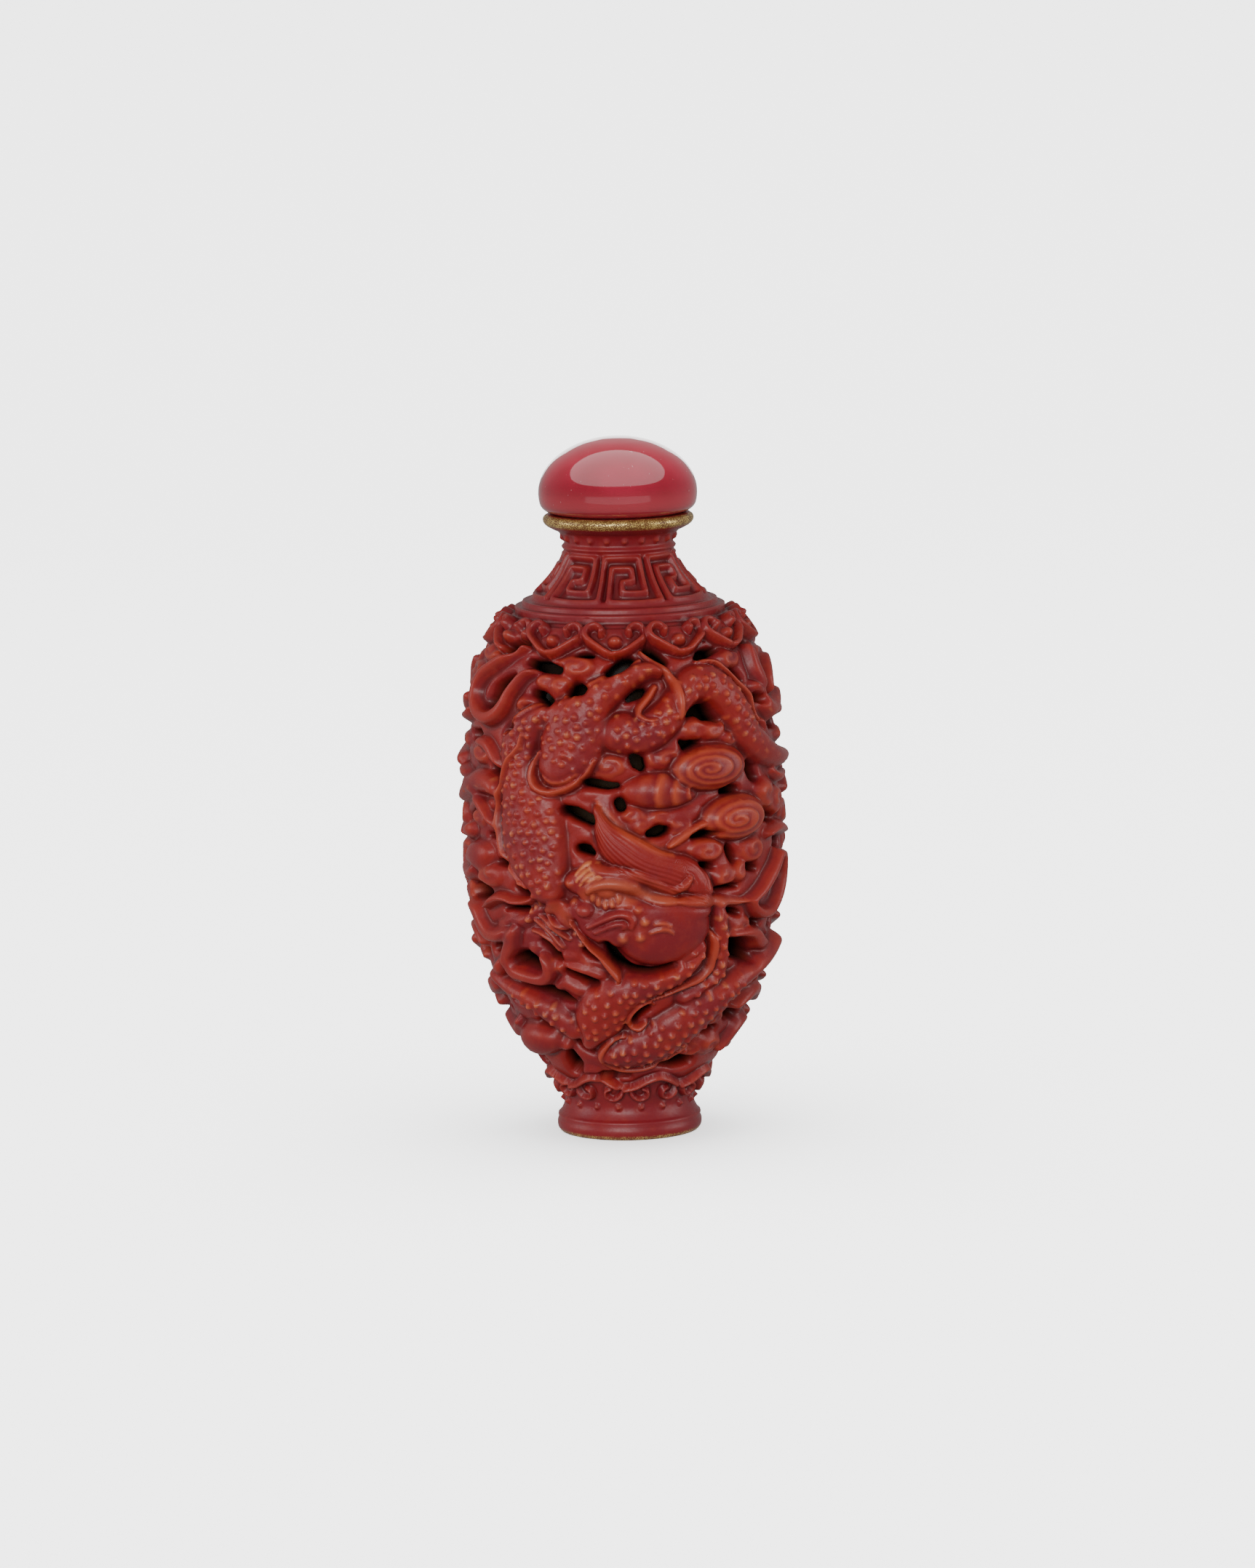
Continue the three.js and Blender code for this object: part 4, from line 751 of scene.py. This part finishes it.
def slotCutters():                               # one bar with rounded ends through the wall for each opening
    bm = bmesh.new()
    depth = -(wall["ground"] + wall["skin"] + wall["gap"] / 2)
    caps = [(1, 0.12), (0.9, 0.44), (0.7, 0.72), (0.4, 0.92)]    # how far past the end, and how wide, in half widths
    for turn in (0, wall["share"]):
        for path in openings["strokes"]:
            sweep = Sweep([(a, h, half * openings["wide"]) for a, h, half in path])
            pick = np.linspace(0, len(sweep.angle) - 1, max(4, int(sweep.run[-1] / 0.6))).astype(int)
            angle, height, half = sweep.angle[pick], sweep.height[pick], sweep.half[pick]
            middle, centre = angle.mean(), lengthAt(height.mean())
            x, y = np.radians(angle - middle) * radiusAt(height), lengthAt(height) - centre
            ahead, aside = np.gradient(x), np.gradient(y)
            size = np.hypot(ahead, aside)
            ahead, aside = ahead / size, aside / size
            columns = [(0, -reach, width) for reach, width in caps] + [(k, 0, 1) for k in range(len(pick))]
            columns += [(len(pick) - 1, reach, width) for reach, width in caps[::-1]]
            made = bmesh.ops.create_grid(bm, x_segments=len(columns) - 1, y_segments=2, size=1)["verts"]
            spots = {}
            for vert in made:
                k, reach, width = columns[round((vert.co.x + 1) / 2 * (len(columns) - 1))]
                across = vert.co.y * half[k] * width
                flatX = x[k] + ahead[k] * reach * half[k] - aside[k] * across
                flatY = y[k] + aside[k] * reach * half[k] + ahead[k] * across
                up = float(heightAt(centre + flatY))
                spots[vert.co.x, vert.co.y] = (middle + turn + degrees(flatX / float(radiusAt(up))), up)
            faces = list({face for vert in made for face in vert.link_faces})
            raised = bmesh.ops.extrude_face_region(bm, geom=faces)["geom"]
            for verts, out in ((made, depth), ([v for v in raised if isinstance(v, bmesh.types.BMVert)], 4.0)):
                for vert in verts:
                    vert.co = onWall(*spots[vert.co.x, vert.co.y], out)
    return finished(bm, "slots")


bottleShape = {
    "steps": 720, "triangles": 190000,
    "underside": [(0, 1.3), (4.6, 1.3), (5.4, 1.1), (5.85, 0.45), (6.2, 0.05), (6.6, 0), (7.4, 0)],
    "mouth": [(7.7, 71.3), (5.6, 71.3), (3.9, 71.25), (3.35, 71.0), (3.2, 70.4), (3.2, 61), (3.6, 60.4), (5.2, 59.2),
              (7.4, 57.4), (9.2, 54.6), (10.2, 50), (10.9, 42), (10.8, 34), (9.9, 25), (7.6, 16), (5.2, 11), (4, 7.4),
              (2.6, 5.2), (0, 4.6)],
    "gapRows": [9.4, 11, 14, 18, 23, 29, 36, 43, 49, 53, 55.4, 56.4],
}


def makeBottle():
    rows = [(float(radiusAt(h)), float(h)) for h in rowHeight]
    piece = turned(bottleShape["underside"] + rows + bottleShape["mouth"], bottleShape["steps"], "bottle")
    where = points(piece)
    radius, angle = np.hypot(where[:, 0], where[:, 1]), np.degrees(np.arctan2(where[:, 1], where[:, 0])) + 90
    outside = np.abs(radius - radiusAt(where[:, 2])) < 0.02
    height = where[outside, 2]
    where[outside] = onWall(angle[outside], height, sampled(lift, angle[outside], height))
    place(piece, where)
    print("relief raised on", len(where), "points")
    inner = wall["ground"] + wall["skin"]
    gapRows = np.array(bottleShape["gapRows"])
    deep = inner + wall["gap"] * np.sin(np.linspace(0.12, 0.88, len(gapRows)) * pi) ** 0.35
    loop = [(float(radiusAt(h)) - inner, h) for h in gapRows]
    loop += [(float(radiusAt(h)) - d, h) for h, d in zip(gapRows[::-1], deep[::-1])]
    cutFrom(piece, turned(loop, 90, "gap", loop=True))
    cutFrom(piece, slotCutters())
    print("gap and openings cut,", len(piece.data.polygons), "faces")
    thin = piece.modifiers.new("thin", "DECIMATE")
    thin.ratio = min(1, bottleShape["triangles"] / sum(len(p.vertices) - 2 for p in piece.data.polygons))
    thin.use_collapse_triangulate = True
    applyAll(piece)
    print("thinned to", len(piece.data.polygons), "triangles")
    return piece


def tag(piece, name, values):                    # a value kept at every vertex, for the materials
    layer = piece.data.attributes.new(name, "FLOAT", "POINT")
    layer.data.foreach_set("value", np.ascontiguousarray(values, dtype=np.float32))


def tagBottle(piece):
    angle, height, out = offWall(points(piece))
    surface = sampled(lift, angle, height)
    inside = np.clip((surface - 0.25 - out) / 0.5, 0, 1)
    tag(piece, "crest", sampled(crest, angle, height) * (1 - inside))
    tag(piece, "pale", sampled(pale, angle, height) * (1 - inside))
    # crease and low also drive the painted shade in the creases and on the low ground
    tag(piece, "crease", sampled(lift - soften(lift, 4), angle, height) * (1 - inside))
    tag(piece, "low", np.clip(-surface, -2.5, 1.5))
    # inside drives the painted shade within the openings and the gap
    tag(piece, "inside", inside)
    tag(piece, "strand", sampled(strand, angle, height))
    tag(piece, "hairy", sampled(hairy, angle, height) * (1 - inside))


stopperShape = {
    "seat": 71.3, "steps": 96,
    "outline": [(0, 0), (6.4, 0), (7.2, 0.04), (7.9, 0.2), (8.45, 0.5), (8.82, 0.95), (9.0, 1.6), (9.05, 2.4),
                (8.95, 3.3), (8.55, 4.4), (7.85, 5.5), (6.85, 6.5), (5.5, 7.4), (3.9, 8.1), (2.3, 8.5), (1.1, 8.66),
                (0, 8.7)],
}


def makeStopper():
    outline = [(max(0.0, float(r)), float(h) + stopperShape["seat"]) for r, h in through(stopperShape["outline"], 90)]
    return turned(outline, stopperShape["steps"], "stopper")


bottle = makeBottle()
tagBottle(bottle)
stopper = makeStopper()
for piece, node, finish in ((bottle, "bottle", "porcelain"), (stopper, "stopper", "glass")):
    place(piece, points(piece) * millimetre)
    piece.data.polygons.foreach_set("use_smooth", [True] * len(piece.data.polygons))
    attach(piece, "root")
    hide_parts(node)


# ---- materials
class Shade:                                     # a shader socket that adds Math nodes when used in sums
    tree = None

    def __init__(self, socket):
        self.socket = socket

    @classmethod
    def node(cls, kind, settings=(), inputs=(), output=0):
        made = cls.tree.nodes.new(kind)
        for key, value in dict(settings).items():
            setattr(made, key, value)
        for key, value in dict(inputs).items():
            if isinstance(value, Shade):
                cls.tree.links.new(value.socket, made.inputs[key])
            else:
                made.inputs[key].default_value = value
        return Shade(made.outputs[output])

    def math(self, operation, other=0.5, clamp=False, flip=False):
        pair = {0: other, 1: self} if flip else {0: self, 1: other}
        return Shade.node("ShaderNodeMath", {"operation": operation, "use_clamp": clamp}, pair)

    def __add__(self, other):
        return self.math("ADD", other)

    def __radd__(self, other):
        return self.math("ADD", other)

    def __sub__(self, other):
        return self.math("SUBTRACT", other)

    def __rsub__(self, other):
        return self.math("SUBTRACT", other, flip=True)

    def __mul__(self, other):
        return self.math("MULTIPLY", other)

    def __rmul__(self, other):
        return self.math("MULTIPLY", other)

    def clamped(self):
        return self.math("ADD", 0.0, clamp=True)

    def band(self, low, high):                   # rises from 0 at low to 1 at high
        return Shade.node("ShaderNodeMapRange", {"interpolation_type": "SMOOTHSTEP"},
                          {"Value": self, "From Min": low, "From Max": high})


def mixed(factor, a, b):
    a, b = ((*v, 1) if isinstance(v, tuple) else v for v in (a, b))
    return Shade.node("ShaderNodeMix", {"data_type": "RGBA"}, {0: factor, 6: a, 7: b}, 2)


def noise(scale, detail, roughness=0.55):
    where = Shade.node("ShaderNodeTexCoord", output="Object")
    return Shade.node("ShaderNodeTexNoise", {}, {"Vector": where, "Scale": scale, "Detail": detail,
                                                 "Roughness": roughness})


def attribute(name):
    return Shade.node("ShaderNodeAttribute", {"attribute_name": name}, output="Fac")


def heightUp():
    where = Shade.node("ShaderNodeTexCoord", output="Object")
    return Shade.node("ShaderNodeSeparateXYZ", inputs={0: where}, output="Z") * 1000


def material(name, constants):
    made = bpy.data.materials.new(name)
    made.use_nodes = True
    Shade.tree = made.node_tree
    shader = made.node_tree.nodes["Principled BSDF"]
    for key, value in constants.items():
        shader.inputs[key].default_value = (*value, 1) if isinstance(value, tuple) else value
    return made, shader


def feed(shader, sockets):
    for key, value in sockets.items():
        Shade.tree.links.new(value.socket, shader.inputs[key])


glaze = {
    "coral": (0.205, 0.0105, 0.0095), "plum": (0.155, 0.008, 0.0115), "warm": (0.29, 0.026, 0.016),
    "orange": (0.5, 0.085, 0.028), "cream": (0.78, 0.36, 0.13), "deep": (0.155, 0.009, 0.0145),
    # painted shade: the colours on the next line darken creases, low ground, the lips of the openings and their
    # insides
    "recess": (0.07, 0.006, 0.008), "darkBrown": (0.035, 0.017, 0.005), "hollow": (0.012, 0.004, 0.0015),
    "gold": (0.85, 0.62, 0.2), "worn": (0.11, 0.058, 0.014),
    "neck": (57.0, 60.5), "base": (4.0, 9.0),                    # heights over which the colour darkens, painted shade on the neck and the foot
    "lip": ((69.95, 70.3), (71.15, 71.3)), "foot": (0.25, 0.6),  # heights between which there is gilding
    "constants": {"Specular IOR Level": 0.26, "Coat Weight": 0.06, "Coat Roughness": 0.2},
}


def glazeMaterial():
    made, shader = material("coral glaze", glaze["constants"])
    cloudy, fine, grain = noise(150, 4), noise(900, 3), noise(4200, 2)
    crease, low, inside = attribute("crease"), attribute("low"), attribute("inside")
    height = heightUp()
    skin = mixed(cloudy.band(0.42, 0.62), glaze["coral"], glaze["plum"])
    # painted shade: the glaze is darkened over the neck and the foot, where less light falls
    shadedEnds = height.band(*glaze["neck"]) + (1 - height.band(*glaze["base"]))
    skin = mixed((shadedEnds * 0.6).clamped(), skin, glaze["deep"])
    skin = mixed(crease.band(0.05, 0.4) * (0.5 - shadedEnds * 0.4), skin, glaze["warm"])
    skin = mixed((attribute("crest") + fine * 0.3 - 0.15).clamped(), skin, glaze["orange"])
    skin = mixed(attribute("pale").clamped(), skin, glaze["cream"])
    # painted shade: creases and the low ground between the forms are darkened towards a dark plum
    sunk = (low.band(0.0, 1.1) * 0.5 + (0 - crease).band(0.0, 0.35) * 0.75 - 0.05).clamped()
    skin = mixed(sunk, skin, glaze["recess"])
    # painted shade: a dark brown, in patches, where the surface drops deepest into the openings
    skin = mixed(low.band(0.9, 1.6) * fine.band(0.45, 0.62) * 0.7, skin, glaze["darkBrown"])
    # painted shade: the insides of the openings, the gap and the inner wall are painted near black and dark brown
    skin = mixed(inside, skin, mixed(cloudy.band(0.4, 0.6), glaze["hollow"], glaze["darkBrown"]))
    starts, ends = glaze["lip"]
    gilt = height.band(*starts) * (1 - height.band(*ends)) * (1 - inside)
    foot = (1 - height.band(*glaze["foot"])) * (1 - inside)
    specks = noise(8500, 2)
    worn = (specks * 0.8 + fine * 0.3).band(0.56, 0.63)
    leaf = ((gilt + foot * 0.6) * worn).clamped()
    skin = mixed(((gilt + foot * 0.6) * 0.85).clamped(), skin, glaze["worn"])
    skin = mixed(leaf, skin, glaze["gold"])
    gloss = 0.36 + grain.band(0.4, 0.7) * 0.12 + inside * 0.4 - leaf * 0.02
    hair = (attribute("strand") * (2 * pi)).math("SINE") * attribute("hairy")
    texture = fine * 0.5 + grain * 0.3 + specks * gilt * 0.6 + hair * 1.4
    relief = Shade.node("ShaderNodeBump", inputs={"Strength": 0.35, "Distance": 0.0001, "Height": texture})
    feed(shader, {"Base Color": skin, "Roughness": gloss, "Metallic": leaf * 0.85, "Normal": relief})
    return made


glass = {
    # edge is the pale colour of the painted rim reflection, and of the bubbles
    "rose": (0.37, 0.007, 0.031), "deep": (0.3, 0.0035, 0.02), "edge": (0.7, 0.36, 0.38), "milk": (0.6, 0.06, 0.078),
    "milky": (72.2, 75.0), "rimReflection": (74.5, 79.5),               # heights where the milk fades, and where the painted rim reflection strengthens
    "constants": {"Roughness": 0.06, "IOR": 1.5, "Transmission Weight": 0.1, "Coat Weight": 0.15,
                  "Coat Roughness": 0.03},
}


def glassMaterial():
    made, shader = material("rose glass", glass["constants"])
    cloudy, bubbles = noise(170, 2), noise(2600, 1, 0.4)
    height = heightUp()
    skin = mixed(cloudy.band(0.35, 0.7), glass["deep"], glass["rose"])
    skin = mixed((1 - height.band(*glass["milky"])) * 0.8, skin, glass["milk"])
    # painted reflection: a pale rim where the glass turns away from the camera, stronger towards the top
    edge = Shade.node("ShaderNodeLayerWeight", inputs={"Blend": 0.35}, output="Facing")
    skin = mixed(edge.math("POWER", 3.0) * (0.15 + height.band(*glass["rimReflection"]) * 0.6), skin, glass["edge"])
    skin = mixed(bubbles.band(0.74, 0.8) * 0.35, skin, glass["edge"])
    feed(shader, {"Base Color": skin})
    return made


bottle.data.materials.append(glazeMaterial())
stopper.data.materials.append(glassMaterial())
print("materials made")

# ---- floor, light and camera
studio = {
    "floor": 0.8, "glow": 1.1, "wide": 3.0, "back": 0.7, "curve": 0.5, "world": 0.42,
    "lamps": [                                   # name, what it lights, place, width, height, power
        ("front", "bottle", (-0.2, -0.9, 0.3), 0.7, 0.5, 9.0),
        ("right", "bottle", (0.75, -0.15, 0.2), 0.5, 0.5, 2.9),
        ("left", "bottle", (-0.8, -0.1, 0.2), 0.5, 0.5, 2.5),
        ("overhead", "stopper", (0.0, -0.11, 0.57), 1.4, 1.0, 9.5),
        ("behind", "stopper", (0.0, 0.9, 0.22), 0.5, 0.3, 1.6),
        ("low", "stopper", (0.0, -0.9, -0.05), 2.0, 0.3, 1.2),
        ("table", "floor", (0, 0, 1.6), 2.4, 2.4, 154.0),
    ],
    "target": (0, 0, 0.04), "aim": (0.00048, 0, 0.04),           # where the lamps and the camera point
    "elevation": 8.5, "distance": 0.8, "lens": 160.4, "roll": 1.1,
}


def makeStudio():
    bm = bmesh.new()
    bmesh.ops.create_grid(bm, x_segments=1, y_segments=40, size=1)
    for vert in bm.verts:                        # flat under the object, curving up behind it
        along = (vert.co.y + 1) * 2 - 1.5
        turn = min(max((along - studio["back"]) / studio["curve"], 0), pi / 2)
        rest = max(along - studio["back"] - studio["curve"] * pi / 2, 0)
        vert.co = (vert.co.x * studio["wide"], min(along, studio["back"]) + studio["curve"] * sin(turn),
                   studio["curve"] * (1 - cos(turn)) + rest)
    floor = finished(bm, "floor")
    floor.data.polygons.foreach_set("use_smooth", [True] * len(floor.data.polygons))
    paper = {"Base Color": (studio["floor"],) * 3, "Roughness": 0.9, "Emission Color": (1.0, 1.0, 1.0),
             "Emission Strength": studio["glow"]}
    floor.data.materials.append(material("paper", paper)[0])
    floor.visible_diffuse = floor.visible_glossy = floor.visible_transmission = False    # its glow lights nothing
    world = bpy.data.worlds.new("studio")
    bpy.context.scene.world = world
    world.use_nodes = True
    world.node_tree.nodes["Background"].inputs["Color"].default_value = (1, 1, 1, 1)
    world.node_tree.nodes["Background"].inputs["Strength"].default_value = studio["world"]
    lit = {}
    for piece, name in ((bottle, "bottle"), (stopper, "stopper"), (floor, "floor")):
        lit[name] = bpy.data.collections.new("lights for the " + name)
        lit[name].objects.link(piece)
    for name, target, where, wide, tall, power in studio["lamps"]:
        lamp = bpy.data.lights.new(name, "AREA")
        lamp.shape = "ELLIPSE" if name == "overhead" else "RECTANGLE"
        lamp.size, lamp.size_y, lamp.energy = wide, tall, power
        holder = bpy.data.objects.new(name, lamp)
        holder.location = where
        holder.rotation_euler = (Vector(studio["target"]) - Vector(where)).to_track_quat("-Z", "Y").to_euler()
        bpy.context.scene.collection.objects.link(holder)
        holder.light_linking.receiver_collection = lit[target]


def makeCamera():
    camera = bpy.data.objects.new("camera", bpy.data.cameras.new("camera"))
    bpy.context.scene.collection.objects.link(camera)
    bpy.context.scene.camera = camera
    camera.data.lens, camera.data.sensor_width, camera.data.clip_end = studio["lens"], 36, 20
    tilt = radians(studio["elevation"])
    back = Vector((0, -cos(tilt), sin(tilt)))
    at = Matrix.Translation(Vector(studio["aim"]) + back * studio["distance"])
    turn = (-back).to_track_quat("-Z", "Y").to_matrix().to_4x4()
    camera.matrix_world = at @ turn @ Matrix.Rotation(radians(-studio["roll"]), 4, "Z")


makeStudio()
makeCamera()
